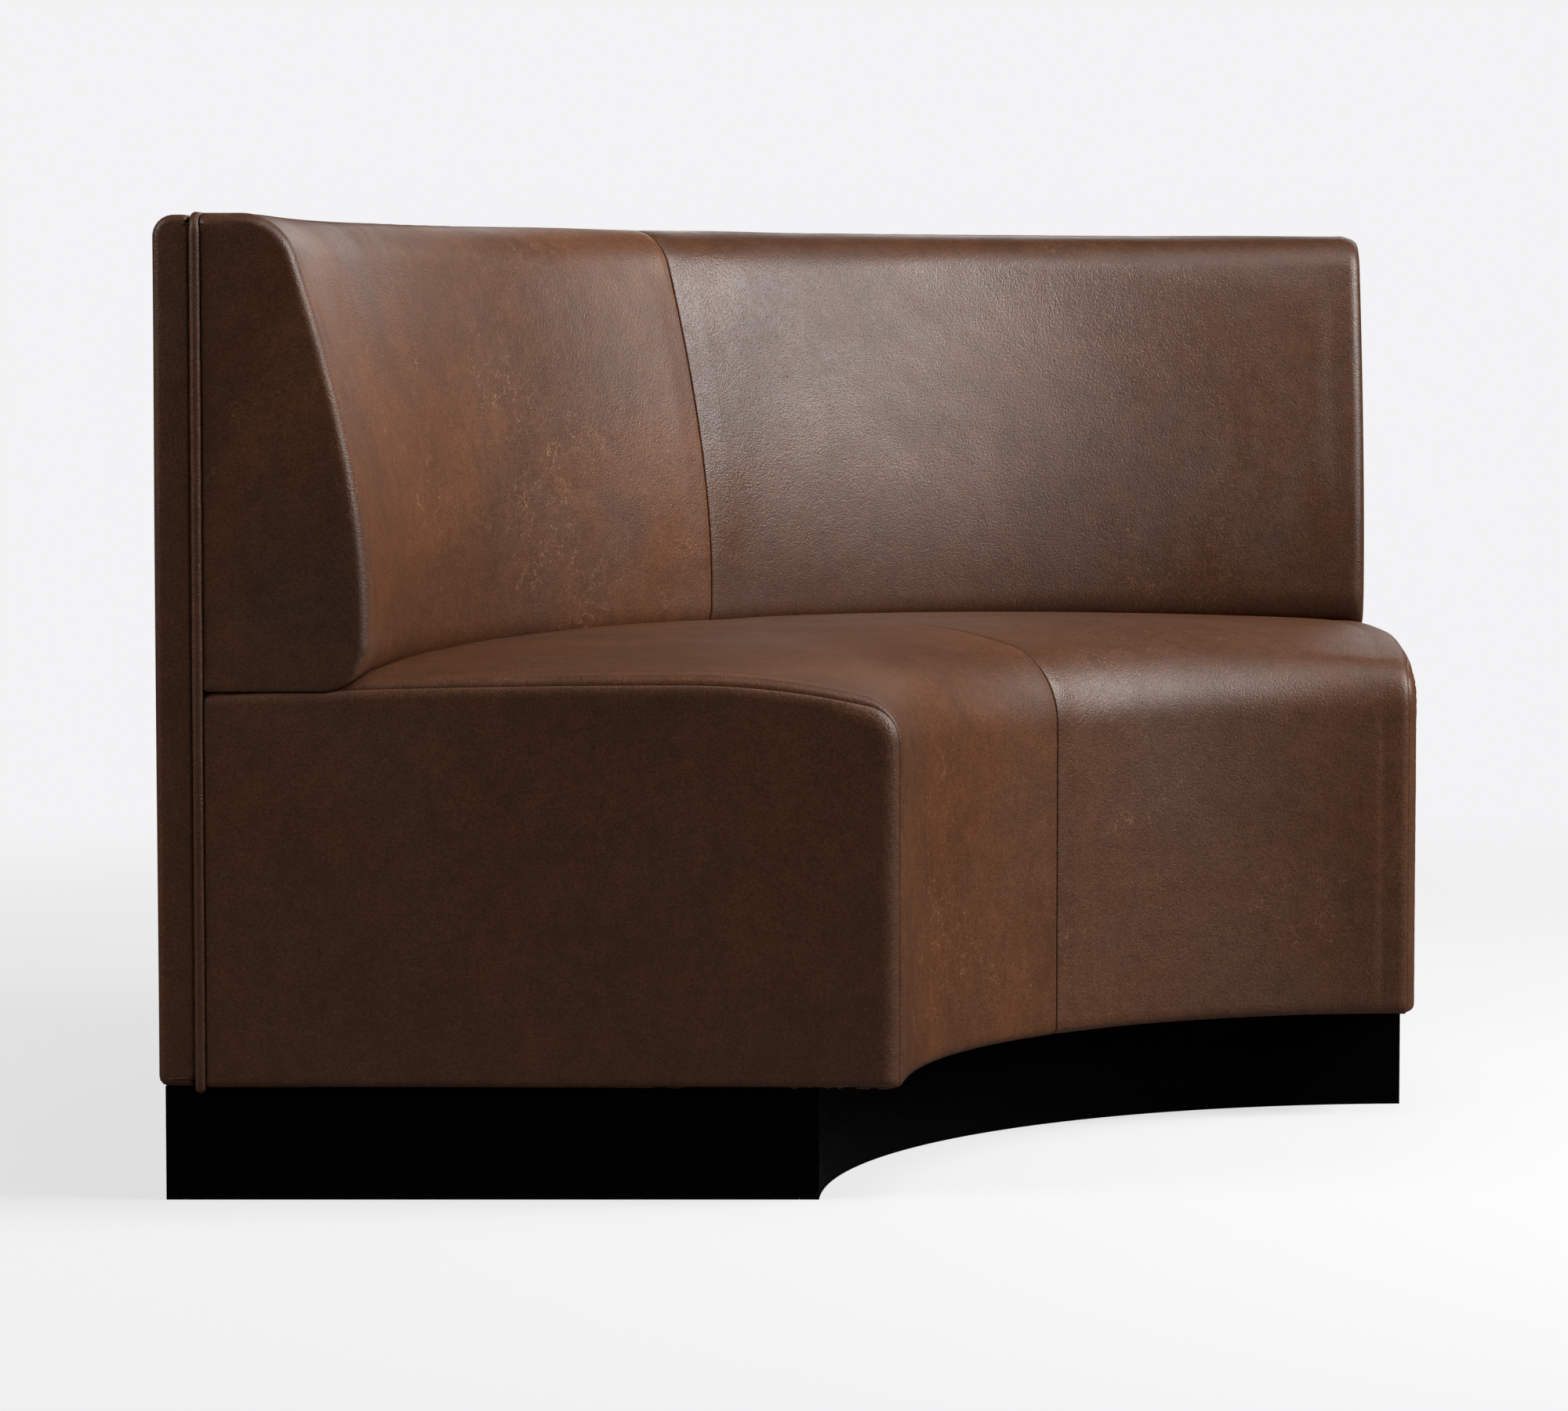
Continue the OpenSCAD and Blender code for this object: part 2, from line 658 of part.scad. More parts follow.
module back_rib(angle) {
  low = z_plate_top + gap;
  high = z_frame_top - face_t - rib_t - gap;
  mid_u = mix(u_frame + rail_t, back_d - in_rib, 0.5);
  color("#c9a877") difference() {
    intersection() {
      back_mass(in_rib, z_plate);
      arc_board(u_frame, back_d, low, high, e_rib);
      radial_slab(angle, rib_t);
    }
    back_rail_slots();
    for (k = [0.25, 0.5, 0.75])
      spot(angle, mid_u - (k - 0.25) * 2 * hole_lean, mix(low, high, k))
        rotate([0, 90, 0]) cylinder(r = back_hole_r, h = 2 * rib_t, center = true, $fn = small_fn);
  }
}
module back_left_rib() { back_rib(rib_angles[0]); }
module back_center_rib() { back_rib(rib_angles[1]); }
module back_right_rib() { back_rib(rib_angles[2]); }

module back_rail(z) {
  color("#d0b083") difference() {
    arc_board(u_frame, u_frame + rail_t, z, z + rail_w, e_board);
    rail_screw_spots([z + rail_w / 2]) screw_hole(screw_l);
  }
}
module back_lower_rail() { back_rail(back_rail_low); }
module back_upper_rail() { back_rail(back_rail_high); }

module back_face_panel() {
  color("#d0b083") intersection() {
    difference() {
      back_mass(in_face, z_plate);
      back_mass(in_rib - gap, z_plate - cut);
    }
    between_ends(e_board);
  }
}

// Back upholstery

// The foam is relieved under the sewn valley
module back_foam() {
  outline = inset_line(concat(back_upper, back_lower), in_foam);
  valley = inset_line(concat(back_upper, back_lower), in_foam + seam_dip);
  last = outline[len(outline) - 1];
  color("#e8d9a8") intersection() {
    difference() {
      arc_body(concat([[u_cover, last[1]], [u_cover, outline[0][1]]], outline));
      back_mass(in_face - gap, z_back);
      intersection() {
        difference() {
          arc_body(concat([[u_cover - cut, z_back - 5 * cut], [u_cover - cut, back_h + 5 * cut]], back_line));
          arc_body(concat([[u_cover - 2 * cut, z_back - cut], [u_cover - 2 * cut, valley[0][1]]], valley));
        }
        radial_slab(0, 2 * seam_half);
      }
    }
    between_ends(e_board + gap);
  }
}

back_end_stations = end_stations(concat([e_even], [for (a = [0:22.5:90]) e_face + back_edge * (1 - sin(a))]));
back_stations = concat(seam_stations(), mid_stations, back_end_stations);

// Half of the inside back's leather, closed at the end by its own end face
module back_cover(side) {
  n = len(back_stations);
  m = len(back_line);
  outer = [for (st = back_stations) [for (p = back_section(st, 0)) place(st, p)]];
  inner_stations = [for (st = back_stations)
    st[0] < 1 || st[2] > e_face + back_edge ? st :
    [1, st[1], st[2] + leather_t * (1 - clamp((st[2] - e_face) / back_edge))]];
  inner = [for (i = [0:n - 1])
    let (st = inner_stations[i], d = leather_t + dip(st) + back_round(back_stations[i]))
    [for (p = inset_line(back_line, d)) place(st, p)]];
  foot = place(back_stations[n - 1], [u_cover, back_section(back_stations[n - 1], 0)[m - 1][1]]);
  foot_in = place(inner_stations[n - 1], [u_cover, back_section(back_stations[n - 1], leather_t)[m - 1][1]]);
  k = n * m;
  far = (n - 1) * m;
  points = concat(flat_list(outer), flat_list(inner), [foot, foot_in]);
  rim = concat(
    [for (i = [0:n - 2]) [i * m, k + i * m, k + (i + 1) * m, (i + 1) * m]],
    [for (i = [0:n - 2]) let (a = i * m + m - 1) [a, a + m, k + a + m, k + a]],
    [for (j = [0:m - 2]) [j, j + 1, k + j + 1, k + j]],
    [[far, k + far, 2 * k + 1, 2 * k], [far + m - 1, 2 * k, 2 * k + 1, k + far + m - 1]]);
  caps = [concat([for (j = [m - 1:-1:0]) far + j], [2 * k]),
          concat([for (j = [0:m - 1]) k + far + j], [2 * k + 1])];
  faces = concat(strip_faces(n, m, 0, false), strip_faces(n, m, k, true), rim, caps);
  color("#5b3826") both(side) polyhedron(points, faces, convexity = 10);
}
module back_left_cover() { back_cover(-1); }
module back_right_cover() { back_cover(1); }

module back_end_padding(side) {
  line = inset_line(concat(back_upper, back_lower), leather_t + back_edge);
  last = line[len(line) - 1];
  color("#ece4d2") end_plate(side, e_pad, e_board - gap,
    concat([[u_cover, last[1]], [u_cover, line[0][1]]], line));
}
module back_left_end_padding() { back_end_padding(-1); }
module back_right_end_padding() { back_end_padding(1); }

// Hexagon bolts from under the shelf, and the tee nuts that they screw into
bolt_head_h = bolt_d * 0.65;
module back_bolts() {
  color("#b9b6ad") for (a = bolt_angles) spot(a, u_bolt, z_shelf - rib_t - gap) {
    translate([0, 0, -bolt_head_h]) cylinder(r = bolt_d, h = bolt_head_h, $fn = 6);
    cylinder(d = bolt_d, h = z_plate_top - z_shelf + rib_t + bolt_end, $fn = small_fn);
  }
}
module back_tee_nuts() {
  color("#c8c4b8") for (a = bolt_angles) spot(a, u_bolt, z_plate_top + gap / 2) difference() {
    cylinder(r = bolt_d * 1.3, h = nut_t, $fn = small_fn);
    translate([0, 0, -cut]) cylinder(d = bolt_d + gap, h = nut_t + 2 * cut, $fn = small_fn);
  }
}

// Outside back

// Outline of the slab inset by d, as depth and height, open to the frame side
function slab_line(d) =
  let (r1 = slab_top_r - d, r2 = max(1, slab_foot_r - d), low = plinth_h + d, high = slab_h - d)
  concat([[slab_t, low]],
         arc_pts([d + r2, low + r2], r2, 270, 180, 5),
         arc_pts([d + r1, high - r1], r1, 180, 90, 7),
         [[slab_t, high]]);

// Floor outline of the slab, with its upright corners rounded and its rear left open
function slab_corner(e, c, out_r) =
  let (reach = sqrt(pow(out_r - c, 2) - pow(e + c, 2)), face = atan((e + c) / reach), last = face - 12,
       turn = 90 - half, rounded = arc_pts([reach, e + c], c, -90, last, 6),
       far = rounded[6] + 4 * slab_t * [-sin(last + 6), cos(last + 6)])
  [for (p = concat(rounded, [far]))
    [p[0] * cos(turn) - p[1] * sin(turn), p[0] * sin(turn) + p[1] * cos(turn)]];
module slab_body(d) {
  e = e_face + d;
  right = slab_corner(e, max(1, slab_side_r - d), back_r - d);
  left = [for (i = [len(right) - 1:-1:0]) [-right[i][0], right[i][1]]];
  plan = concat([[0, e / sin(half)]], right, [[0, 2 * back_r]], left);
  intersection() {
    arc_body(slab_line(d));
    at_arc() linear_extrude(height = 2 * back_h) polygon(plan);
  }
}

module outside_back_panel() {
  color("#c9a877") difference() {
    slab_body(leather_t + slab_pad);
    rail_screw_spots(rail_heights) screw_hole(screw_l);
  }
}

module outside_back_padding() {
  color("#ece4d2") difference() {
    slab_body(leather_t + gap / 2);
    slab_body(leather_t + slab_pad - gap / 2);
  }
}

module outside_back_cover() {
  color("#4a2e20") difference() {
    slab_body(0);
    slab_body(leather_t);
  }
}

// Screws from the rear rails into the outside back panel
rail_heights = [rail_z + rail_w / 2, back_rail_low + rail_w / 2, back_rail_high + rail_w / 2];
rail_screw_l = min(screw_l, rail_t + slab_t - leather_t - slab_pad - screw_d);
module rail_screw_spots(heights) {
  for (a = bolt_angles, z = heights) spot(a, u_frame + rail_t, z) rotate([90, 0, 0]) children();
}
module outside_back_screws() {
  color("#c8c4b8") rail_screw_spots(rail_heights) translate([0, 0, -gap]) screw(rail_screw_l);
}

// Welt, in two lengths that meet at the middle: up one end and half way along the top
module welt_length() {
  r = back_r - u_welt;
  turn = half - asin((e_face + welt_sink) / r) - atan(welt_bend / r);
  reach = turn - atan(gap / 2 / r);
  top = slab_h + welt_rise - welt_d / 2;
  foot = z_hem - welt_drop + welt_d / 2;
  spot(turn, u_welt, 0) {
    translate([0, -r, top]) rotate([0, 0, 90])
      rotate_extrude(angle = reach, $fn = arc_fn) translate([r, 0]) circle(d = welt_d, $fn = small_fn);
    translate([0, 0, top - welt_bend]) rotate([90, 0, 0])
      rotate_extrude(angle = 90, $fn = small_fn) translate([welt_bend, 0]) circle(d = welt_d, $fn = small_fn);
    translate([welt_bend, 0, foot]) cylinder(d = welt_d, h = top - welt_bend - foot, $fn = small_fn);
    translate([welt_bend, 0, foot]) sphere(d = welt_d, $fn = small_fn);
  }
}
module welt() { color("#5b3826") for (side = [-1, 1]) both(side) welt_length(); }

plinth_front_rail();
plinth_rear_rail();
plinth_left_end();
plinth_right_end();
plinth_left_stretcher();
plinth_center_stretcher();
plinth_right_stretcher();
plinth_corner_blocks();
plinth_screws();
base_board();
seat_left_end_board();
seat_right_end_board();
seat_left_rib();
seat_center_rib();
seat_right_rib();
seat_front_panel();
seat_rear_rail();
seat_step_rail();
seat_shelf();
seat_deck();
deck_screws();
seat_foam();
seat_left_end_padding();
seat_right_end_padding();
seat_left_cover();
seat_right_cover();
seat_left_end_cover();
seat_right_end_cover();
back_bottom_plate();
back_top_plate();
back_left_end_board();
back_right_end_board();
back_left_rib();
back_center_rib();
back_right_rib();
back_lower_rail();
back_upper_rail();
back_face_panel();
back_foam();
back_left_end_padding();
back_right_end_padding();
back_left_cover();
back_right_cover();
back_bolts();
back_tee_nuts();
outside_back_panel();
outside_back_padding();
outside_back_cover();
outside_back_screws();
welt();
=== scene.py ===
"""Looks of a quarter-round banquette: distressed leather, welt, sewn seams and a black plinth."""
import json
import math

import bmesh
import bpy
import numpy as np
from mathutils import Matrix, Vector

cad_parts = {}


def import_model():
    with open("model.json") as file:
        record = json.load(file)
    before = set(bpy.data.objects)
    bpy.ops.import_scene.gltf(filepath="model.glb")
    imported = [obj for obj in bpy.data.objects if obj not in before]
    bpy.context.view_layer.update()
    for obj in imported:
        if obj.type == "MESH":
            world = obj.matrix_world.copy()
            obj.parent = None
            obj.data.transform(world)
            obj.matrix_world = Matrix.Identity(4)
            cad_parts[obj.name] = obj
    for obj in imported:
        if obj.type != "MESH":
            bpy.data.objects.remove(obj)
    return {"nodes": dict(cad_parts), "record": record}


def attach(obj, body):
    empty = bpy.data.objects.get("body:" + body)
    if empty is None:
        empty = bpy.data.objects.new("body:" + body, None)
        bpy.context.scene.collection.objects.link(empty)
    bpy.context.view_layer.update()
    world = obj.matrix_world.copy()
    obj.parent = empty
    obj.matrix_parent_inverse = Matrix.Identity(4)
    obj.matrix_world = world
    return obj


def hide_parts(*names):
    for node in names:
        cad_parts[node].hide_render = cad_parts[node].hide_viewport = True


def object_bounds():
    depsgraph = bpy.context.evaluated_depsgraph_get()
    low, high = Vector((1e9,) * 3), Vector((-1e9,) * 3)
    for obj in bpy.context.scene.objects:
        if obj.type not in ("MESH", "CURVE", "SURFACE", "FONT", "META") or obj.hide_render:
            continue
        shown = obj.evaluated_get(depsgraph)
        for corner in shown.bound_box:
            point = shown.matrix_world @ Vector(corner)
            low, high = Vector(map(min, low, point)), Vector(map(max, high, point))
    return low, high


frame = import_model()
CAD_LOW, CAD_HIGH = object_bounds()

# Plan and heights, in metres. Depths in the plan run inwards from BACK_R, the outside back. E_FACE is the
# distance of the end faces inside the radial lines, EDGE_SHARE the share of the crown's fall that lies in
# its last rows at the end seam, and COVER_U the depth at which the inside covers start
HALF = math.radians(45)
BACK_R = 1.250
ARC_Y = CAD_HIGH.y - BACK_R
E_FACE = 0.015
SEAT_D = 0.694
PLINTH_H = 0.107
SEAT_H = 0.511
SEAT_RISE = 0.036
SEAT_FALL = 0.030
EDGE_SHARE = 0.35
BACK_H = 0.918
SLAB_H = 0.916
SLAB_T = 0.034
COVER_U = 0.045
LEATHER = 0.0016

# Outside back: radii of its rear, front and upright corners, distance at which a rounded end becomes even,
# and height of the slow waves in its leather
SLAB_TOP_R, SLAB_FOOT_R = 0.020, 0.009
SLAB_FRONT_TOP_R, SLAB_FRONT_FOOT_R = 0.004, 0.003
SLAB_SIDE_R = 0.008
SLAB_EVEN = 0.030
SLAB_WAVES = 0.0006

# Welt: its radius, depth in the plan, radius of its bends, rise of its top above the slab, how far it stays
# inside the end faces, and height of its foot
WELT_R = 0.005
WELT_U = (SLAB_T + COVER_U) / 2
WELT_BEND = 0.014
WELT_RISE = 0.0028
WELT_SINK = 0.001
WELT_FOOT = PLINTH_H - 0.001

# Seat profile: drop of the crown to its front roll at the middle and at the end, slope there, drop to the
# crease, radius of the front roll at the middle and at the end, what the front is drawn in at the end seam,
# distance inside the radial line at which the last rows start, height, radius and depth of the hem, and
# clearance under the back
FRONT_DROP, END_DROP = 0.017, 0.020
FRONT_SLOPE = math.radians(13)
CREASE_DROP = 0.008
ROLL_R, END_ROLL_R = 0.080, 0.035
END_DRAW = 0.005
E_EVEN = 0.050
Z_HEM = PLINTH_H - 0.0023
HEM_R = 0.006
HEM_U = SEAT_D - 0.030
UNDER_CLEAR = 0.0008

# Back profile: depth of the lumbar and of the top roll, radius of that roll, lean, radius of the lower roll,
# height of the lumbar above it, and depth and height at which the underside ends
BACK_D = 0.1985
BACK_TOP_D = 0.135
TOP_ROLL_R = 0.055
BACK_LEAN = math.radians(18)
LOW_ROLL_R = 0.045
LUMBAR_H = 0.020
BACK_HEM_U = COVER_U + 0.001
Z_BACK = SEAT_H - SEAT_RISE

# Soft edge at the ends of the back: widths towards the middle, and depths, of its top, front and foot, then
# the depth in the plan at which the top's values start to turn into the front's, the height at which those
# start to turn into the foot's, each with the length of the change, and the swell of the end face
EDGE_WIDE = (0.026, 0.014, 0.0035)
EDGE_DEEP = (0.0095, 0.012, 0.0030)
FRONT_FROM_U, FRONT_OVER_U = 0.070, 0.060
FOOT_UNDER_Z, FOOT_OVER_Z = Z_BACK + 0.030, 0.028
END_BULGE = 0.0008

# Middle seams: half width and depth of the valley, radius of the turned lips, half of the slit between
# them, depth at which the halves meet, and depth to which the leather is turned in
VALLEY_W, VALLEY_D = 0.014, 0.0011
LIP_R = 0.0016
SLIT = 0.0003
SEWN_BELOW = 0.0015
TUCK = 0.006

# End seams of the seat: distance inside the end face on the crown and on the front, depth in the plan at
# which the one starts to turn into the other and length of the change, radius of the crown's curled edge,
# share of the last rows that a tight round takes, its weight against a wide one, and gap to the panel
SEAM_IN_TOP, SEAM_IN_FRONT = 0.0032, 0.0082
SEAM_TURN_U, SEAM_TURN_W = 0.625, 0.050
CURL_R = 0.0007
CURL_ROUND, CURL_SHARE = 0.36, 0.72
SEAM_GAP = 0.0005

# End panels of the seat: widths of the soft edge on the crown and on the front, depth in the plan at which
# the one starts to turn into the other and length of the change, share of a quarter round in that edge,
# what it stays above the seam, height of the foot, and width and drop of the edges at foot and welt
CROWN_EDGE, PAD_EDGE = 0.009, 0.017
PAD_FROM_U, PAD_OVER_U = 0.60, 0.06
PANEL_TILT = 0.90
PANEL_PROUD = 0.0004
PANEL_FOOT = PLINTH_H + 0.0004
FOOT_EDGE = (0.006, 0.005)
REAR_EDGE = (0.005, 0.003)

# Relief of the end panels: swell of the middle, height of the slow waves, distance from the seam at which
# the puckers are strongest, their height everywhere, what the front corner adds, and its place and size
PANEL_SWELL, PANEL_WAVES = 0.0012, 0.0005
PUCKER_AT = 0.010
PUCKER, CORNER_PUCKER = 0.00010, 0.00022
CORNER_U, CORNER_Z = 0.67, 0.445
CORNER_WIDE, CORNER_HIGH = 0.035, 0.045

# Cloth: rows and columns of the coarse copy, rounds of evening, longest displacement, slack, frames, and the
# pressure under each cover
COARSE_ROWS, COARSE_COLS = 56, 70
CLOTH_EVENED = 12
CLOTH_CAP = 0.0014
CLOTH_SLACK = 0.0015
CLOTH_FRAMES = 20
SEAT_PRESSURE, BACK_PRESSURE = 0.8, 0.7

# Camera, solved from the photograph's edges
CAM_FROM_ARC = (-3.8782, -2.9344)
CAM_H = 0.8027
CAM_PITCH = math.radians(4.022)
CAM_HEADING = math.radians(-45)
CAM_LENS = 120.09


# Curves in the plane of depth and height

def arc(centre, radius, start, end, count):
    a = np.radians(np.linspace(start, end, count))
    return np.stack([centre[0] + radius * np.cos(a), centre[1] + radius * np.sin(a)], axis=1)


def resample(points, count):
    """Points at even steps along a polyline."""
    points = np.asarray(points, float)
    step = np.linalg.norm(np.diff(points, axis=0), axis=1)
    keep = np.concatenate([[True], step > 1e-7])
    points = points[keep]
    along = np.concatenate([[0], np.cumsum(np.linalg.norm(np.diff(points, axis=0), axis=1))])
    at = np.linspace(0, along[-1], count)
    return np.stack([np.interp(at, along, points[:, k]) for k in range(2)], axis=1)


def normals_of(points):
    """Outward normals of an outline that runs from the rear over the top to the front."""
    t = np.gradient(points, axis=0)
    t /= np.linalg.norm(t, axis=1)[:, None] + 1e-12
    return np.stack([-t[:, 1], t[:, 0]], axis=1)


def mix(a, b, t):
    return a + (b - a) * t


def smooth(x):
    x = np.clip(x, 0, 1)
    return x * x * (3 - 2 * x)


def back_outline(count):
    top = np.array([BACK_TOP_D - TOP_ROLL_R, BACK_H - TOP_ROLL_R])
    lean = top + TOP_ROLL_R * np.array([math.cos(BACK_LEAN), math.sin(BACK_LEAN)])
    knee = np.array([BACK_D, lean[1] - (BACK_D - lean[0]) / math.tan(BACK_LEAN)])
    low = np.array([BACK_D - LOW_ROLL_R, Z_BACK + LOW_ROLL_R])
    lumbar = np.array([BACK_D, low[1] + LUMBAR_H])
    t = np.linspace(0, 1, 60)[:, None]
    lean_part = lean * (1 - t) ** 2 + knee * 2 * t * (1 - t) + lumbar * t * t
    return resample(np.concatenate([
        [[COVER_U, BACK_H]],
        arc(top, TOP_ROLL_R, 90, math.degrees(BACK_LEAN), 40),
        lean_part,
        arc(low, LOW_ROLL_R, 0, -90, 40),
        [[BACK_HEM_U, Z_BACK]]]), count)


def under_back(u):
    """Height of the back's underside above a depth of the seat, with a little clearance."""
    z = Z_BACK - UNDER_CLEAR
    r = LOW_ROLL_R + UNDER_CLEAR
    du = np.clip(u - (BACK_D - LOW_ROLL_R), 0, r)
    rolled = Z_BACK + LOW_ROLL_R - np.sqrt(r * r - du * du)
    return np.where(u <= BACK_D - LOW_ROLL_R, z, np.where(u >= BACK_D, BACK_H, rolled))


def seat_outline(w, q, count):
    """w is the share of the crown's fall that is regained, q is 0 at the end seam and 1 past it."""
    front = SEAT_D - END_DRAW * (1 - q)
    r, drop = mix(END_ROLL_R, ROLL_R, w), mix(END_DROP, FRONT_DROP, w)
    peak_z = SEAT_H - SEAT_FALL * (1 - w)
    join_u = front - r * (1 - math.sin(FRONT_SLOPE))
    peak_u = join_u - 2 * drop / math.tan(FRONT_SLOPE)
    join_z = peak_z - drop
    rear_drop = mix(CREASE_DROP / 2, CREASE_DROP, w)
    u = np.linspace(COVER_U, join_u, 160)
    ahead = peak_z - drop * ((u - peak_u) * math.tan(FRONT_SLOPE) / (2 * drop)) ** 2
    behind = peak_z - rear_drop * ((peak_u - u) / (peak_u - BACK_D)) ** 2
    z = np.minimum(np.where(u > peak_u, ahead, behind), under_back(u))
    roll = arc((front - r, join_z - r * math.cos(FRONT_SLOPE)), r, 90 - math.degrees(FRONT_SLOPE), 0, 40)
    hem = arc((front - HEM_R, Z_HEM + HEM_R), HEM_R, 0, -90, 12)
    return resample(np.concatenate([np.stack([u, z], axis=1), roll, hem, [[HEM_U, Z_HEM]]]), count)


# Stations across a cover: t from the middle seam to the end, m beside the seam, e inside the end

def place(outline, t, m, e):
    """Puts an outline at a station of the right-hand half."""
    r = BACK_R - outline[:, 0]
    a = mix(np.arcsin(m / r), HALF - np.arcsin(e / r), t)
    return np.stack([r * np.sin(a), ARC_Y + r * np.cos(a), outline[:, 1]], axis=1)


def seat_section(t, e, count):
    """Outline of the crown at a station. Its end seam has rows of its own, so e changes nothing here."""
    return seat_outline(EDGE_SHARE + (1 - EDGE_SHARE) * (1 - t * t), 1.0, count)


def seam_inset(outline):
    """Distance of the end seam inside the radial line: larger at the front, where it turns the corner."""
    ahead = smooth((outline[..., 0] - SEAM_TURN_U) / SEAM_TURN_W)
    return E_FACE + mix(SEAM_IN_TOP, SEAM_IN_FRONT, ahead)


def seat_end_rows(side, count):
    """Rows of the crown from its even part to the end seam, then its edge curled into the seam."""
    rows = []
    rounded = [CURL_ROUND * (1 - math.sin(math.radians(a))) for a in range(0, 91, 9)]
    for x in [0.88, 0.76, 0.64, 0.54, 0.45] + rounded:
        even = math.sqrt(1 - (1 - x) ** 2)
        edge = math.sqrt(1 - (1 - min(1, x / CURL_ROUND)) ** 2)
        q = mix(even, edge, CURL_SHARE)
        outline = seat_outline(EDGE_SHARE * q, q, count)
        rows.append(on_end(outline, side, mix(seam_inset(outline), E_EVEN, x)))
    inset = seam_inset(outline)
    normal = normals_of(outline)
    for a in np.radians((30, 60, 90)):
        curled = outline - normal * CURL_R * math.sin(a)
        rows.append(on_end(curled, side, inset + CURL_R * (1 - math.cos(a))))
    rows.append(on_end(outline - normal * CURL_R, side, inset + TUCK))
    return np.array(rows)


def edge_round(e, radius):
    x = max(0.0, radius - (e - E_FACE))
    return radius - math.sqrt(max(0.0, radius * radius - x * x))


def along_back(outline, values):
    """Blends a value for the top, the front and the foot along the back's outline."""
    u, z = outline[:, 0], outline[:, 1]
    front = smooth((u - FRONT_FROM_U) / FRONT_OVER_U)
    foot = smooth((FOOT_UNDER_Z - z) / FOOT_OVER_Z)
    return mix(mix(values[0], values[1], front), values[2], foot)


def back_edge(outline, e):
    wide, deep = along_back(outline, EDGE_WIDE), along_back(outline, EDGE_DEEP)
    x = np.clip(1 - (e - E_FACE) / wide, 0, 1)
    return deep * (1 - np.sqrt(1 - x * x))


# Meshes

def faces_of(n, m, flip):
    i, j = np.meshgrid(np.arange(n - 1), np.arange(m - 1), indexing="ij")
    a = (i * m + j).ravel()
    quads = np.stack([a, a + 1, a + m + 1, a + m], axis=1)
    return quads[:, ::-1] if flip else quads


def make_object(name, points, quads, material, thickness=LEATHER, welded=False):
    mesh = bpy.data.meshes.new(name)
    mesh.from_pydata([tuple(p) for p in points], [], [tuple(int(k) for k in q) for q in quads])
    if welded:
        work = bmesh.new()
        work.from_mesh(mesh)
        bmesh.ops.remove_doubles(work, verts=work.verts, dist=1e-6)
        work.to_mesh(mesh)
        work.free()
    mesh.update()
    obj = bpy.data.objects.new(name, mesh)
    bpy.context.scene.collection.objects.link(obj)
    if thickness:
        solid = obj.modifiers.new("thickness", "SOLIDIFY")
        solid.thickness = thickness
        solid.offset = -1
        apply_modifiers(obj)
    for face in obj.data.polygons:
        face.use_smooth = True
    obj.data.materials.append(material)
    return obj


def apply_modifiers(obj):
    graph = bpy.context.evaluated_depsgraph_get()
    baked = bpy.data.meshes.new_from_object(obj.evaluated_get(graph))
    old = obj.data
    obj.modifiers.clear()
    obj.data = baked
    baked.name = old.name
    bpy.data.meshes.remove(old)


def grid_normals(grid, flip):
    ds = np.gradient(grid, axis=1)
    dt = np.gradient(grid, axis=0)
    n = np.cross(ds, dt)
    n /= np.linalg.norm(n, axis=2)[:, :, None] + 1e-12
    return -n if flip else n


def mirrored(grid):
    out = grid.copy()
    out[:, :, 0] *= -1
    return out


# Cloth: a coarse copy of a cover is pinned along its seams and filled by pressure

def add_cloth(obj, border, pressure):
    """Cloth of leather that is pinned along its border and filled by pressure."""
    pins = obj.vertex_groups.new(name="pins")
    pins.add(border, 1.0, "REPLACE")
    cloth = obj.modifiers.new("cloth", "CLOTH")
    cloth.point_cache.frame_start, cloth.point_cache.frame_end = 1, CLOTH_FRAMES
    s = cloth.settings
    s.quality = 5
    s.mass = 0.35
    s.tension_stiffness, s.compression_stiffness, s.shear_stiffness = 30, 30, 12
    s.bending_stiffness = 0.8
    s.vertex_group_mass = "pins"
    s.use_pressure = True
    s.uniform_pressure_force = pressure
    s.shrink_min = -CLOTH_SLACK
    s.effector_weights.gravity = 0


def simulated_bulge(name, grid, flip, pressure):
    """Displacement of each point of a pinned sheet under pressure, no longer than the cap."""
    n, m = grid.shape[:2]
    points, quads = grid.reshape(-1, 3), faces_of(n, m, flip)
    obj = make_object(name, points, quads, bpy.data.materials[0], thickness=0)
    border = [i * m + j for i in range(n) for j in range(m) if i in (0, n - 1) or j in (0, m - 1)]
    add_cloth(obj, border, pressure)
    scene = bpy.context.scene
    for f in range(1, CLOTH_FRAMES + 1):
        scene.frame_set(f)
    moved = obj.evaluated_get(bpy.context.evaluated_depsgraph_get()).to_mesh()
    out = np.empty(n * m * 3)
    moved.vertices.foreach_get("co", out)
    shift = out.reshape(n, m, 3) - grid
    scene.frame_set(1)
    mesh = obj.data
    bpy.data.objects.remove(obj)
    bpy.data.meshes.remove(mesh)
    for _ in range(CLOTH_EVENED):
        inner = (shift[:-2, 1:-1] + shift[2:, 1:-1] + shift[1:-1, :-2] + shift[1:-1, 2:]) / 4
        shift[1:-1, 1:-1] = (shift[1:-1, 1:-1] + inner) / 2
    length = np.linalg.norm(shift, axis=2, keepdims=True) + 1e-9
    return shift * (CLOTH_CAP * np.tanh(length / CLOTH_CAP) / length)


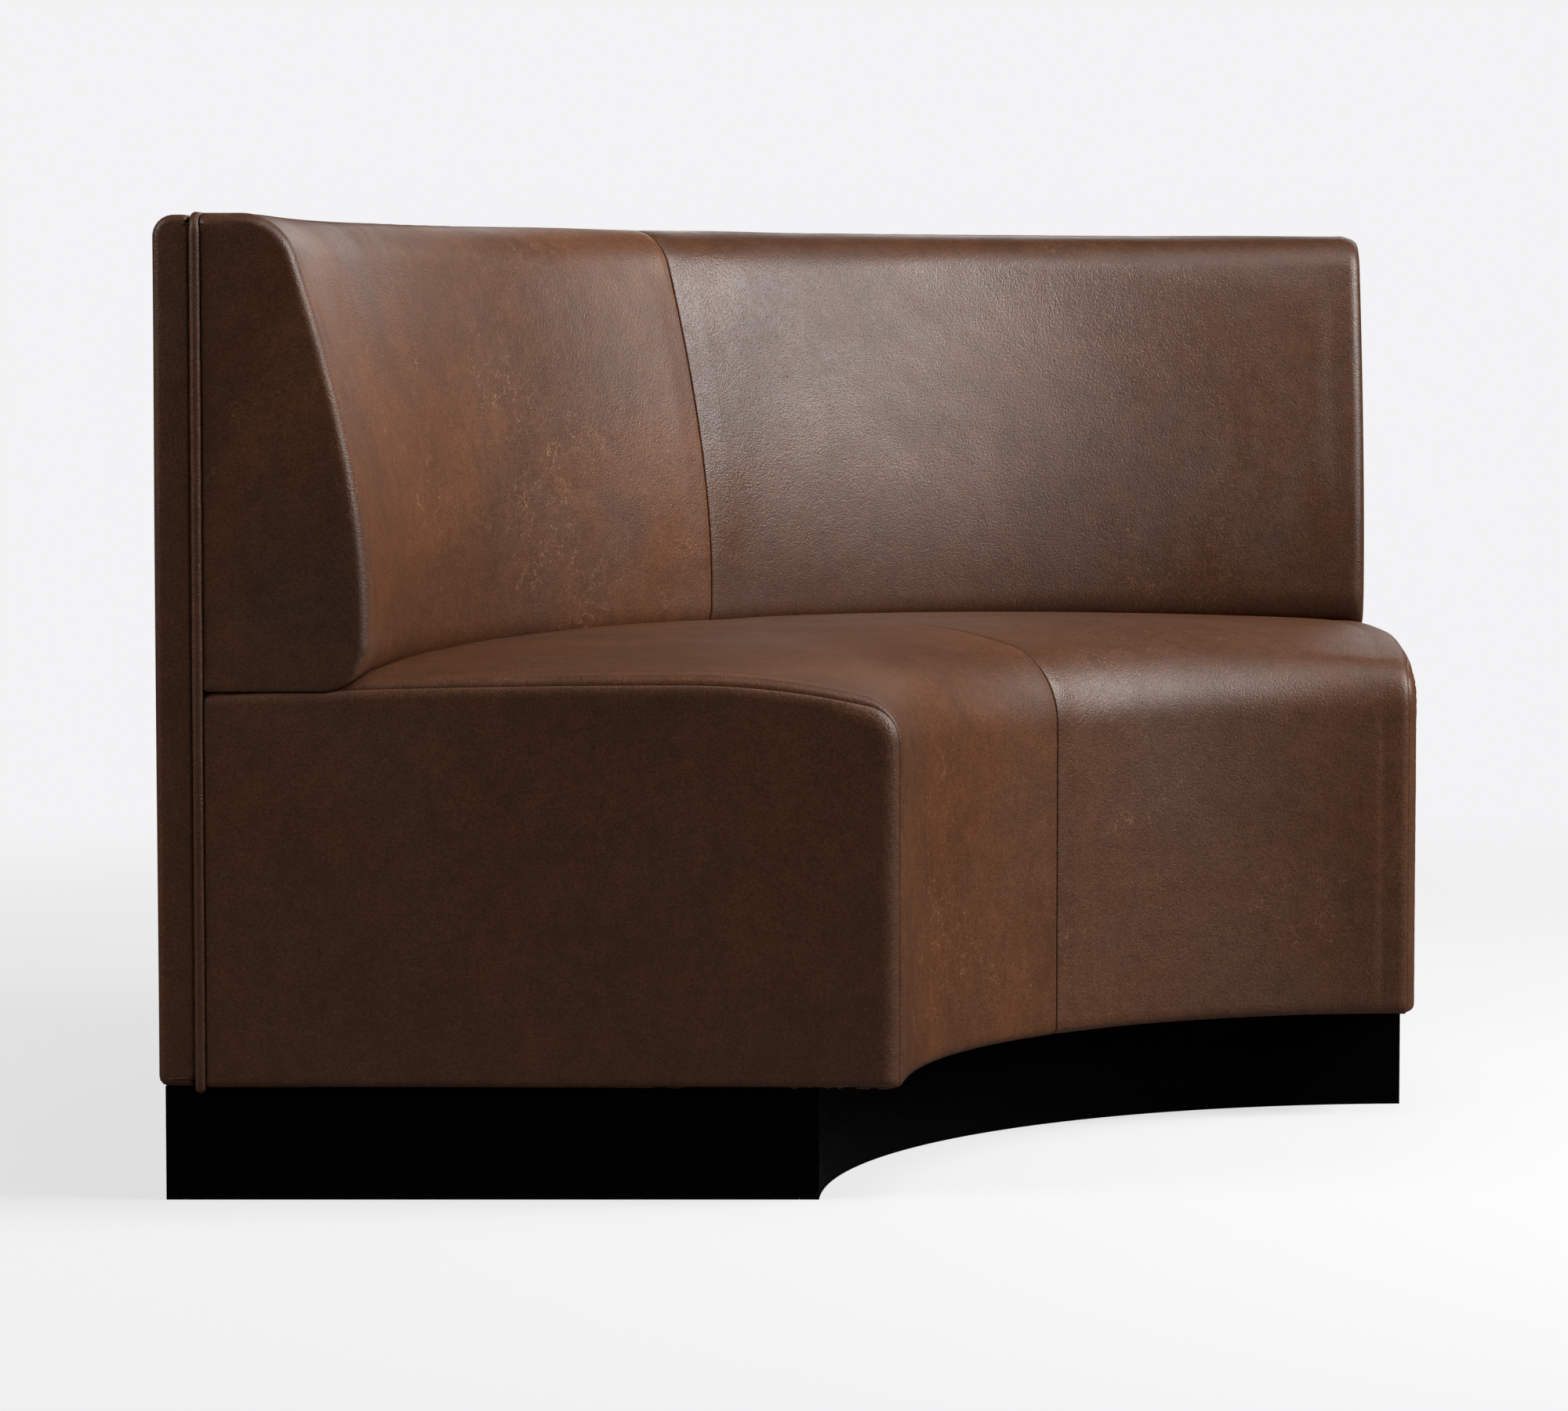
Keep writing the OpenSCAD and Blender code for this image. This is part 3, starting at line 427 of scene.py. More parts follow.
def spread(field, rows, cols):
    """A coarse field read at fractional rows and columns, both from 0 to 1."""
    n, m = field.shape[:2]
    r, c = np.clip(rows, 0, 1) * (n - 1), np.clip(cols, 0, 1) * (m - 1)
    i, j = np.minimum(r.astype(int), n - 2), np.minimum(c.astype(int), m - 2)
    fr, fc = (r - i)[:, None, None], (c - j)[None, :, None]
    a, b = field[i][:, j], field[i][:, j + 1]
    d, e = field[i + 1][:, j], field[i + 1][:, j + 1]
    return (a * (1 - fc) + b * fc) * (1 - fr) + (d * (1 - fc) + e * fc) * fr


def wave(shape_a, shape_b, seed, terms, low, high):
    """Smooth pseudo-random relief over two coordinate fields, from a few seeded waves."""
    local = np.random.default_rng(seed)
    total = np.zeros(np.broadcast(shape_a, shape_b).shape)
    for _ in range(terms):
        k = local.uniform(low, high)
        angle = local.uniform(0, math.pi)
        phase = local.uniform(0, 2 * math.pi)
        total += np.sin(2 * math.pi * k * (shape_a * math.cos(angle) + shape_b * math.sin(angle)) + phase)
    return total / math.sqrt(terms)


# Covers

MIDDLE = np.linspace(0, 1, 110)[1:-1]
BESIDE_SEAM = [SLIT + LIP_R, 0.0025, 0.004, 0.006, 0.008, 0.011]


def cover_grid(section, end_list, cols, side, name, pressure):
    """Half of a cover, from its turned lip at the middle seam to its end seam or end face."""
    stations = [(0, m, E_EVEN) for m in BESIDE_SEAM]
    stations += [(t, VALLEY_W, E_EVEN) for t in MIDDLE]
    stations += [(1, VALLEY_W, e) for e in end_list]
    rest = np.stack([place(section(t, e, cols), t, m, e) for t, m, e in stations])
    coarse_t = np.linspace(0, 1, COARSE_ROWS)
    coarse = np.stack([place(section(t, E_EVEN, COARSE_COLS), t, VALLEY_W, E_EVEN) for t in coarse_t])
    flip = side < 0
    if flip:
        rest, coarse = mirrored(rest), mirrored(coarse)
    shift = simulated_bulge(name, coarse, flip, pressure)
    across = np.array([t for t, m, e in stations])
    rest = rest + spread(shift, across, np.linspace(0, 1, cols))
    n = grid_normals(rest, flip)
    beside = np.array([m if t == 0 else 1.0 for t, m, e in stations])
    beside[len(BESIDE_SEAM):] = VALLEY_W + across[len(BESIDE_SEAM):] * 0.5
    dip = VALLEY_D * np.clip(1 - beside / VALLEY_W, 0, 1) ** 2
    rest = rest - n * dip[:, None, None]
    lip = []
    for turn in (90, 60, 30):
        a = math.radians(turn)
        row = rest[0] - n[0] * LIP_R * (1 - math.cos(a))
        row[:, 0] = side * (SLIT + LIP_R * (1 - math.sin(a)))
        lip.append(row)
    # Below the lips the two halves are sewn face to face, so that nothing shows through between them
    sewn = []
    for depth in (TUCK, SEWN_BELOW):
        row = lip[0] - n[0] * depth
        row[:, 0] = 0.0
        sewn.append(row)
    return np.concatenate([sewn, lip, rest]), flip


def on_end(points, side, e):
    """Depth and height points on a plane parallel to the end face, e inside its radial line."""
    e = np.broadcast_to(e, points.shape[:-1])
    along = np.sqrt((BACK_R - points[..., 0]) ** 2 - e * e)
    x = side * (along * math.sin(HALF) - e * math.cos(HALF))
    y = ARC_Y + along * math.cos(HALF) + e * math.sin(HALF)
    return np.stack([x, y, points[..., 1]], axis=-1)


def end_outward(side):
    """Unit vector out of an end face."""
    return np.array([side * math.cos(HALF), -math.sin(HALF), 0])


def named_side(side):
    return "right" if side > 0 else "left"


def seat_leather(side, material):
    cols = 150
    grid, flip = cover_grid(seat_section, [E_EVEN], cols, side, "seat_cloth", SEAT_PRESSURE)
    grid = np.concatenate([grid, seat_end_rows(side, cols)])
    quads = faces_of(*grid.shape[:2], flip)
    return make_object("seat_leather_" + named_side(side), grid.reshape(-1, 3), quads, material)


def back_section(t, e, count):
    outline = back_outline(count)
    if t < 1:
        return outline
    return outline - normals_of(outline) * back_edge(outline, e)[:, None]


def back_end_rows(last, side, count):
    """Rows of the back's end face, from its soft edge to a line beside the welt."""
    along = np.linspace(0, 1, last.shape[0])
    r = BACK_R - COVER_U
    a = HALF - math.asin(E_FACE / r)
    x, y = side * r * math.sin(a), ARC_Y + r * math.cos(a)
    z = mix(BACK_H - EDGE_DEEP[0], Z_BACK + EDGE_DEEP[2], along)
    spine = np.stack([np.full_like(along, x), np.full_like(along, y), z], axis=1)
    rows = []
    for f in np.linspace(0, 1, count)[1:]:
        row = last + (spine - last) * f
        row += end_outward(side) * END_BULGE * math.sin(math.pi * f) ** 0.7
        rows.append(row)
    return np.array(rows)


def back_leather(side, material):
    wide = max(EDGE_WIDE)
    ends = [E_EVEN, 0.045] + [E_FACE + wide * (1 - math.sin(math.radians(a))) for a in range(0, 91, 6)]
    grid, flip = cover_grid(back_section, ends, 140, side, "back_cloth", BACK_PRESSURE)
    grid = np.concatenate([grid, back_end_rows(grid[-1], side, 26)])
    quads = faces_of(*grid.shape[:2], flip)
    return make_object("back_leather_" + named_side(side), grid.reshape(-1, 3), quads, material)


# End panel of the seat: a padded panel with a soft edge, sewn in below the crown

def end_outline(count):
    outline = seat_outline(0.0, 0.0, 400)
    above_hem = outline[outline[:, 1] > Z_HEM + HEM_R]
    return resample(np.concatenate([above_hem, [[above_hem[-1, 0], Z_HEM]]]), count)


def coons(top, bottom, left, right):
    """Grid between four border curves that share their corners."""
    n, m = len(left), len(top)
    v, h = np.linspace(0, 1, n)[:, None, None], np.linspace(0, 1, m)[None, :, None]
    ruled = (1 - v) * top[None] + v * bottom[None] + (1 - h) * left[:, None] + h * right[:, None]
    corners = (1 - v) * ((1 - h) * top[0] + h * top[-1]) + v * ((1 - h) * bottom[0] + h * bottom[-1])
    return ruled - corners


def clustered(count):
    """Steps from 0 to 1 that are fine near both ends."""
    x = np.linspace(0, 1, count)
    return mix(x, 0.5 - 0.5 * np.cos(math.pi * x), 0.85)


def read_at(points, steps):
    along = np.linspace(0, 1, len(points))
    return np.stack([np.interp(steps, along, points[:, k]) for k in range(points.shape[1])], axis=1)


def distance_to(points, line):
    """Distance of every point of a grid to a polyline."""
    best = np.full(points.shape[:2], np.inf)
    for a, b in zip(line[:-1], line[1:]):
        t = np.clip(((points - a) @ (b - a)) / ((b - a) @ (b - a)), 0, 1)
        best = np.minimum(best, np.linalg.norm(points - a - t[:, :, None] * (b - a), axis=2))
    return best


def eased(distance, width, drop, tilt=1.0):
    """Drop of a surface towards an edge: a quarter round, or the part of one that is less steep."""
    x = tilt * np.clip(1 - distance / width, 0, 1)
    return drop * (1 - np.sqrt(1 - x * x)) / (1 - math.sqrt(1 - tilt * tilt))


def puckered(u, z, to_seam, front_share, side):
    """Depth of the fine puckers along the seam, strongest where the panel turns the front corner."""
    band = np.exp(-((to_seam - PUCKER_AT) / PUCKER_AT) ** 2) * smooth(to_seam / 0.003)
    waves = wave(z, u + 0.3 * np.sin(z * 90), 5 + side, 9, 60, 120)
    corner = np.exp(-(((u - CORNER_U) / CORNER_WIDE) ** 2 + ((z - CORNER_Z) / CORNER_HIGH) ** 2))
    strength = PUCKER + CORNER_PUCKER * corner
    return strength * waves * band * front_share


def seat_end_leather(side, material):
    cols, rows = 150, 110
    outline = end_outline(600)
    outline = outline - normals_of(outline) * (CURL_R + SEAM_GAP)

    # Four border curves: the crown down to the upper front corner, the front, the foot and the welt's line
    corner = int(np.argmax(outline[:, 0] + outline[:, 1] * 1.15))
    top = read_at(outline[:corner + 1], clustered(cols))
    front = read_at(outline[corner:], clustered(rows))
    front[-1, 1] = PANEL_FOOT
    bottom = read_at(np.array([[COVER_U, PANEL_FOOT], [front[-1, 0], PANEL_FOOT]]), clustered(cols))
    rear = read_at(np.array([top[0], [COVER_U, PANEL_FOOT]]), clustered(rows))
    flat = coons(top, bottom, rear, front)
    u, z = flat[:, :, 0], flat[:, :, 1]
    to_seam, to_foot, to_rear = distance_to(flat, outline[::3]), z - PANEL_FOOT, u - COVER_U
    front_share = smooth((u - PAD_FROM_U) / PAD_OVER_U)
    wide = mix(CROWN_EDGE, PAD_EDGE, front_share)
    depth = seam_inset(flat) - E_FACE - PANEL_PROUD

    # Depth of the panel: its soft edges, its crown, slow waves in the leather and puckers along the seam
    e = E_FACE + eased(to_seam, wide, depth, PANEL_TILT)
    e += eased(to_foot, *FOOT_EDGE) + eased(to_rear, *REAR_EDGE)
    inner = np.minimum(np.minimum(to_seam, to_foot), to_rear)
    e -= PANEL_SWELL * smooth(inner / 0.12)
    e -= PANEL_WAVES * wave(u, z, 11 + side, 7, 1.5, 5) * smooth(inner / 0.05)
    e -= puckered(u, z, to_seam, front_share, side)
    grid = on_end(flat, side, e)

    # Border of the panel, turned in along the seam, the front, the foot and the welt
    ring = np.concatenate([flat[0], flat[1:, -1], flat[-1, ::-1][1:], flat[::-1, 0][1:]])
    ring_e = np.concatenate([e[0], e[1:, -1], e[-1, ::-1][1:], e[::-1, 0][1:]])
    hem = np.array([on_end(ring, side, ring_e + d) for d in (0.0, 0.001, TUCK)])
    hem_quads = faces_of(len(hem), len(ring), side < 0) + rows * cols
    quads = np.concatenate([faces_of(rows, cols, side > 0), hem_quads])
    points = np.concatenate([grid.reshape(-1, 3), hem.reshape(-1, 3)])
    return make_object("seat_end_leather_" + named_side(side), points, quads, material, welded=True)


# Outside back: leather over a slab with a large top radius

def slab_outline(count):
    """Outline from the front over the top and down the rear to the foot."""
    top, foot = SLAB_FRONT_TOP_R, SLAB_FRONT_FOOT_R
    return resample(np.concatenate([
        [[SLAB_T, SLAB_H - top]],
        arc((SLAB_T - top, SLAB_H - top), top, 0, 90, 8),
        arc((SLAB_TOP_R, SLAB_H - SLAB_TOP_R), SLAB_TOP_R, 90, 180, 24),
        arc((SLAB_FOOT_R, PLINTH_H + SLAB_FOOT_R), SLAB_FOOT_R, 180, 270, 16),
        arc((SLAB_T - foot, PLINTH_H + foot), foot, 270, 360, 8)]), count)


def slab_end_rows(last, side):
    """Rows of an end face of the slab, from its rounded edge to a line at its front."""
    r = BACK_R - SLAB_T
    a = HALF - math.asin(E_FACE / r)
    spine = np.repeat(np.array([[side * r * math.sin(a), ARC_Y + r * math.cos(a), 0]]), len(last), axis=0)
    spine[:, 2] = np.clip(last[:, 2], PLINTH_H + SLAB_SIDE_R, SLAB_H - SLAB_SIDE_R)
    return np.array([last + (spine - last) * f for f in np.linspace(0, 1, 9)[1:]])


def outside_leather(material):
    cols = 190
    outline = slab_outline(cols)
    out = -normals_of(outline)
    ends = [E_FACE + SLAB_SIDE_R * (1 - math.sin(math.radians(a))) for a in range(0, 91, 10)]
    rows = [place(outline, t, 0.0, SLAB_EVEN) for t in np.linspace(0, 1, 120)[:-1]]
    for e in [SLAB_EVEN, 0.026] + ends:
        rows.append(place(outline - out * edge_round(e, SLAB_SIDE_R), 1, 0.0, e))
    right = np.array(rows)
    left = mirrored(right)[::-1]
    grid = np.concatenate([left[:-1], right])
    angle = np.arctan2(grid[:, :, 0], grid[:, :, 1] - ARC_Y)
    n = -grid_normals(grid, False)
    rear = smooth((0.012 - (BACK_R - np.hypot(grid[:, :, 0], grid[:, :, 1] - ARC_Y))) / 0.01)
    swell = SLAB_WAVES * wave(angle * BACK_R, grid[:, :, 2], 31, 8, 1.0, 4.0) * rear
    grid = grid + n * swell[:, :, None]
    grid = np.concatenate([slab_end_rows(grid[0], -1)[::-1], grid, slab_end_rows(grid[-1], 1)])
    quads = faces_of(*grid.shape[:2], True)
    return make_object("outside_back_leather", grid.reshape(-1, 3), quads, material)


# Welt: a leather-wrapped cord along a path, with round ends

def welt_path():
    """Centre line: up one end, along the top of the back and down the other end."""
    r = BACK_R - WELT_U
    turn = HALF - math.asin((E_FACE + WELT_SINK) / r) - math.atan(WELT_BEND / r)
    top = SLAB_H + WELT_RISE - WELT_R
    points = [(r * math.sin(a), r * math.cos(a), top) for a in np.linspace(0, turn, 140)]
    base = np.array([r * math.sin(turn), r * math.cos(turn)])
    along = np.array([math.cos(turn), -math.sin(turn)])
    for a in np.radians(np.linspace(0, 90, 12))[1:]:
        xy = base + along * WELT_BEND * math.sin(a)
        points.append((xy[0], xy[1], top - WELT_BEND * (1 - math.cos(a))))
    xy = base + along * WELT_BEND
    for z in np.linspace(top - WELT_BEND, WELT_FOOT, 130)[1:]:
        points.append((xy[0], xy[1], z))
    half_path = np.array(points)
    other = half_path[::-1].copy()
    other[:, 0] *= -1
    path = np.concatenate([other[:-1], half_path])
    path[:, 1] += ARC_Y
    return path


def welt_rings(path, tangent, sides):
    """Rings of the cord, a little uneven, with rounder and smaller ones at both ends."""
    radial = path - np.array([0, ARC_Y, 0])
    radial[:, 2] = 0
    radial /= np.linalg.norm(radial, axis=1)[:, None]
    across = np.cross(tangent, radial)
    angle = np.linspace(0, 2 * math.pi, sides, endpoint=False)
    along = np.concatenate([[0], np.cumsum(np.linalg.norm(np.diff(path, axis=0), axis=1))])
    swell = 1 + 0.02 * wave(along[:, None], angle[None] * 0.004, 3, 8, 8, 50)
    ring = np.cos(angle)[None, :, None] * radial[:, None] + np.sin(angle)[None, :, None] * across[:, None]
    tube = path[:, None] + ring * WELT_R * swell[:, :, None]
    caps = []
    for end, direction in ((0, -1), (-1, 1)):
        rows = []
        for a in np.radians([30, 60, 82]):
            centre = path[end] + direction * tangent[end] * WELT_R * math.sin(a)
            rows.append(centre + ring[end] * WELT_R * math.cos(a))
        caps.append(np.array(rows))
    return np.concatenate([caps[0][::-1], tube, caps[1]])


def tube_faces(n, sides):
    """Faces of n closed rings, and of the fans to the two tips that come after them."""
    i, j = np.meshgrid(np.arange(n - 1), np.arange(sides), indexing="ij")
    a, b = (i * sides + j).ravel(), (i * sides + (j + 1) % sides).ravel()
    faces = [tuple(q) for q in np.stack([a, b, b + sides, a + sides], axis=1)]
    last = (n - 1) * sides
    faces += [(n * sides, (j + 1) % sides, j) for j in range(sides)]
    faces += [(n * sides + 1, last + j, last + (j + 1) % sides) for j in range(sides)]
    return faces


def welt(material):
    path = welt_path()
    sides = 24
    tangent = np.gradient(path, axis=0)
    tangent /= np.linalg.norm(tangent, axis=1)[:, None]
    rings = welt_rings(path, tangent, sides)
    tips = [path[0] - tangent[0] * WELT_R, path[-1] + tangent[-1] * WELT_R]
    points = list(rings.reshape(-1, 3)) + tips
    return make_object("welt_cord", points, tube_faces(len(rings), sides), material, thickness=0)


# Materials

def node(tree, kind, **values):
    """A new node. What starts with in_ is the constant of an input, the rest are settings of the node."""
    made = tree.nodes.new(kind)
    for key, value in values.items():
        if key.startswith("in_"):
            made.inputs[key[3:].replace("_", " ")].default_value = value
        else:
            setattr(made, key, value)
    return made


def new_material(name):
    material = bpy.data.materials.new(name)
    material.use_nodes = True
    tree = material.node_tree
    tree.nodes.clear()
    out = node(tree, "ShaderNodeOutputMaterial")
    shader = node(tree, "ShaderNodeBsdfPrincipled")
    tree.links.new(shader.outputs[0], out.inputs["Surface"])
    return material, tree, shader


def noise(tree, source, scale, detail, roughness, distortion):
    made = node(tree, "ShaderNodeTexNoise", in_Scale=scale, in_Detail=detail, in_Roughness=roughness,
                in_Distortion=distortion)
    tree.links.new(source, made.inputs["Vector"])
    return made


def noise_at(tree, source, scale, detail=4.0, roughness=0.55, distortion=0.0):
    return noise(tree, source, scale, detail, roughness, distortion).outputs["Fac"]


def ramp(tree, source, low, high, out_low=0.0, out_high=1.0):
    """Smooth step of a value from low to high, given as out_low to out_high."""
    made = node(tree, "ShaderNodeMapRange", interpolation_type="SMOOTHSTEP",
                in_From_Min=low, in_From_Max=high, in_To_Min=out_low, in_To_Max=out_high)
    tree.links.new(source, made.inputs["Value"])
    return made.outputs["Result"]


def math_node(tree, operation, a, b=None):
    made = node(tree, "ShaderNodeMath", operation=operation)
    for index, value in enumerate((a, b)):
        if value is None:
            continue
        if isinstance(value, (int, float)):
            made.inputs[index].default_value = value
        else:
            tree.links.new(value, made.inputs[index])
    return made.outputs[0]


def times(tree, a, b):
    return math_node(tree, "MULTIPLY", a, b)


def mix_color(tree, factor, a, b):
    made = node(tree, "ShaderNodeMix", data_type="RGBA")
    for key, value in (("Factor", factor), ("A", a), ("B", b)):
        socket = [s for s in made.inputs if s.name == key and (key == "Factor" or s.type == "RGBA")][0]
        if isinstance(value, tuple):
            socket.default_value = value + (1.0,)
        else:
            tree.links.new(value, socket)
    return [s for s in made.outputs if s.type == "RGBA"][0]


def mapped(tree, offset=(0, 0, 0), scale=(1, 1, 1)):
    where = node(tree, "ShaderNodeTexCoord")
    move = node(tree, "ShaderNodeMapping")
    move.inputs["Location"].default_value = offset
    move.inputs["Scale"].default_value = scale
    tree.links.new(where.outputs["Object"], move.inputs["Vector"])
    return move.outputs["Vector"]


# Linear colours of the leather, height of its grain, and width over which its marks change at the end faces
LEATHER_MID = (0.114, 0.0432, 0.0176)
LEATHER_DARK = (0.074, 0.0265, 0.0108)
LEATHER_TAN = (0.172, 0.0600, 0.0195)
LEATHER_DULL = (0.102, 0.0430, 0.0200)
SCRATCH = (0.36, 0.190, 0.100)
GRAIN_DEPTH = 0.00023
END_FADE = 0.012


def noise_fields(tree, source, scale, detail, roughness, distortion=0.0):
    """Colour of a noise texture, and the three independent fields in it."""
    made = noise(tree, source, scale, detail, roughness, distortion)
    parts = node(tree, "ShaderNodeSeparateColor")
    tree.links.new(made.outputs["Color"], parts.inputs["Color"])
    return made.outputs["Color"], [parts.outputs[k] for k in ("Red", "Green", "Blue")]


def swayed(tree, vector, noise_color, amount):
    """Coordinates moved by a noise colour."""
    centred = node(tree, "ShaderNodeVectorMath", operation="MULTIPLY_ADD")
    centred.inputs[1].default_value = (amount, amount, amount)
    centred.inputs[2].default_value = (-amount / 2, -amount / 2, -amount / 2)
    tree.links.new(noise_color, centred.inputs[0])
    moved = node(tree, "ShaderNodeVectorMath", operation="ADD")
    tree.links.new(vector, moved.inputs[0])
    tree.links.new(centred.outputs[0], moved.inputs[1])
    return moved.outputs[0]


def cell_distance(tree, vector, scale):
    """Distance to the middle of the nearest cell."""
    made = node(tree, "ShaderNodeTexVoronoi", feature="F1", in_Scale=scale)
    tree.links.new(vector, made.inputs["Vector"])
    return made.outputs["Distance"]


def clouds(tree, cloud, patch, dull, tan, dark):
    """Broad colours of the hide: dark clouds, tan patches and dull patches."""
    color = mix_color(tree, ramp(tree, cloud, 0.38, 0.62, 0.0, dark), LEATHER_MID, LEATHER_DARK)
    worn_tan = ramp(tree, patch, 0.52 - 0.25 * tan, 0.86 - 0.25 * tan, 0.0, min(1.0, 0.1 + tan))
    color = mix_color(tree, worn_tan, color, LEATHER_TAN)
    return mix_color(tree, ramp(tree, dull, 0.50, 0.70, 0.0, 0.6), color, LEATHER_DULL)


def end_distance(tree, axes):
    """Distance of a point inside the nearer radial line of the plan."""
    across = math_node(tree, "SUBTRACT", axes.outputs["Y"], math_node(tree, "ABSOLUTE", axes.outputs["X"]))
    return times(tree, math_node(tree, "SUBTRACT", across, ARC_Y), math.cos(HALF))


def near_end(tree, inset, at_face, inside):
    """One value on an end face and another inside it."""
    return ramp(tree, inset, E_FACE, E_FACE + END_FADE, at_face, inside)


def hair_scratches(tree, offset):
    """Hair scratches: broken level lines of a rough noise, gathered in patches."""
    lines = []
    for scale, width, shift in ((28.0, 0.007, 0.4), (60.0, 0.011, 2.9)):
        field = noise_at(tree, mapped(tree, (offset[1], shift, offset[2])), scale, 3.0, 0.62)
        off_level = math_node(tree, "ABSOLUTE", math_node(tree, "SUBTRACT", field, 0.5))
        breaks = noise_at(tree, mapped(tree, (shift, 1.3, offset[0])), scale * 0.9, 2.0)
        broken = ramp(tree, breaks, 0.46, 0.60)
        lines.append(times(tree, ramp(tree, off_level, 0.0, width, 1.0, 0.0), broken))
    patches = noise_at(tree, mapped(tree, (offset[2], offset[0], 1.7)), 5.5, 3.0, 0.55, 0.4)
    return times(tree, math_node(tree, "MAXIMUM", *lines), ramp(tree, patches, 0.44, 0.62))


def bump(tree, height, strength, distance):
    made = node(tree, "ShaderNodeBump", in_Strength=strength, in_Distance=distance)
    tree.links.new(height, made.inputs["Height"])
    return made


def painted_shade(tree, tone, axes, inset, painted_shade_right, painted_shade_low, painted_shade_ends):
    """Painted shade: darker towards the right, on the end faces and, except there, low on the back."""
    tone = times(tree, tone, ramp(tree, axes.outputs["X"], 0.30, 0.62, 1.0, painted_shade_right))
    tone = times(tree, tone, near_end(tree, inset, painted_shade_ends, 1.0))
    fall = ramp(tree, axes.outputs["Z"], 0.47, 0.72, 1.0 - painted_shade_low, 0.0)
    low = times(tree, fall, near_end(tree, inset, 0.0, 1.0))
    return times(tree, tone, math_node(tree, "SUBTRACT", 1.0, low))


def scaled_color(tree, color, tone):
    toned = node(tree, "ShaderNodeVectorMath", operation="SCALE")
    tree.links.new(color, toned.inputs[0])
    tree.links.new(tone, toned.inputs["Scale"])
    return toned.outputs[0]


def pebbled_normal(tree, base, fine, worn):
    """Pebbled grain over soft hollows."""
    cells = cell_distance(tree, swayed(tree, base, fine, 0.0010), 560.0)
    folds = noise_at(tree, base, 300.0, 2.0, 0.6)
    height = math_node(tree, "SUBTRACT", times(tree, folds, 0.9), times(tree, cells, cells))
    height = math_node(tree, "ADD", height, times(tree, worn, 1.2))
    grain = bump(tree, height, 1.0, GRAIN_DEPTH)
    soft = bump(tree, noise_at(tree, base, 13.0, 2.0, 0.5, 0.3), 0.20, 0.005)
    tree.links.new(soft.outputs["Normal"], grain.inputs["Normal"])
    return grain.outputs["Normal"]


def leather(name, offset, tan, dark, rough, scratches, gloss=0.5,
            painted_shade_right=1.0, painted_shade_low=1.0, painted_shade_ends=1.0):
    """Pull-up leather: clouded browns, tan patches, pale hair scratches, pebbled grain, painted shade."""
    material, tree, shader = new_material(name)
    base = mapped(tree, offset)
    cloud, patch, dull = noise_fields(tree, base, 4.2, 5.0, 0.60, 0.4)[1]
    fine, fields = noise_fields(tree, base, 430.0, 2.0, 0.7)
    blotch, worn = noise_fields(tree, base, 34.0, 4.0, 0.62)[1][:2]
    spots = noise_at(tree, base, 95.0, 3.0, 0.65)
    axes = node(tree, "ShaderNodeSeparateXYZ")
    tree.links.new(mapped(tree), axes.inputs[0])
    inset = end_distance(tree, axes)

    # Clouds, toned by the speckle of the dyed grain, blotches, spots and painted shade
    speckle = ramp(tree, fields[0], 0.30, 0.70, 0.74, 1.26)
    tone = times(tree, speckle, ramp(tree, blotch, 0.32, 0.68, 0.92, 1.08))
    tone = times(tree, tone, ramp(tree, spots, 0.32, 0.68, 0.94, 1.06))
    tone = painted_shade(tree, tone, axes, inset, painted_shade_right, painted_shade_low, painted_shade_ends)
    color = scaled_color(tree, clouds(tree, cloud, patch, dull, tan, dark), tone)

    # Pale scratches, fewer on the end faces and none beside the hem
    hair = times(tree, hair_scratches(tree, offset), scratches)
    hair = times(tree, hair, near_end(tree, inset, 0.35, 1.0))
    hair = times(tree, hair, ramp(tree, axes.outputs["Z"], 0.125, 0.165, 0.0, 1.0))
    tree.links.new(mix_color(tree, hair, color, SCRATCH), shader.inputs["Base Color"])

    # Gloss that follows the broad clouds
    dullness = math_node(tree, "ADD", math_node(tree, "ADD", dull, cloud), times(tree, spots, 0.5))
    matt = ramp(tree, dullness, 0.95, 1.55, rough - 0.06, rough + 0.08)
    tree.links.new(matt, shader.inputs["Roughness"])
    shader.inputs["Specular IOR Level"].default_value = gloss
    tree.links.new(pebbled_normal(tree, base, fine, worn), shader.inputs["Normal"])
    return material


def grained(name, light, dark, scale, rough, strength, gloss=0.5):
    """Wood, with its grain running along level lines."""
    material, tree, shader = new_material(name)
    grain = ramp(tree, noise_at(tree, mapped(tree, scale=scale), 1.0, 6.0, 0.62, 0.4), 0.35, 0.68)
    tree.links.new(mix_color(tree, grain, dark, light), shader.inputs["Base Color"])
    tree.links.new(ramp(tree, grain, 0.0, 1.0, rough + 0.08, rough - 0.05), shader.inputs["Roughness"])
    shader.inputs["Specular IOR Level"].default_value = gloss
    tree.links.new(bump(tree, grain, strength, 0.0006).outputs["Normal"], shader.inputs["Normal"])
    return material


def cellular(name, light, dark, scale, rough):
    """Foam or wadding: a matt surface of small cells."""
    material, tree, shader = new_material(name)
    cells = noise_at(tree, mapped(tree), scale, 5.0, 0.7)
    tree.links.new(mix_color(tree, ramp(tree, cells, 0.35, 0.65), dark, light), shader.inputs["Base Color"])
    shader.inputs["Roughness"].default_value = rough
    tree.links.new(bump(tree, cells, 0.5, 0.001).outputs["Normal"], shader.inputs["Normal"])
    return material


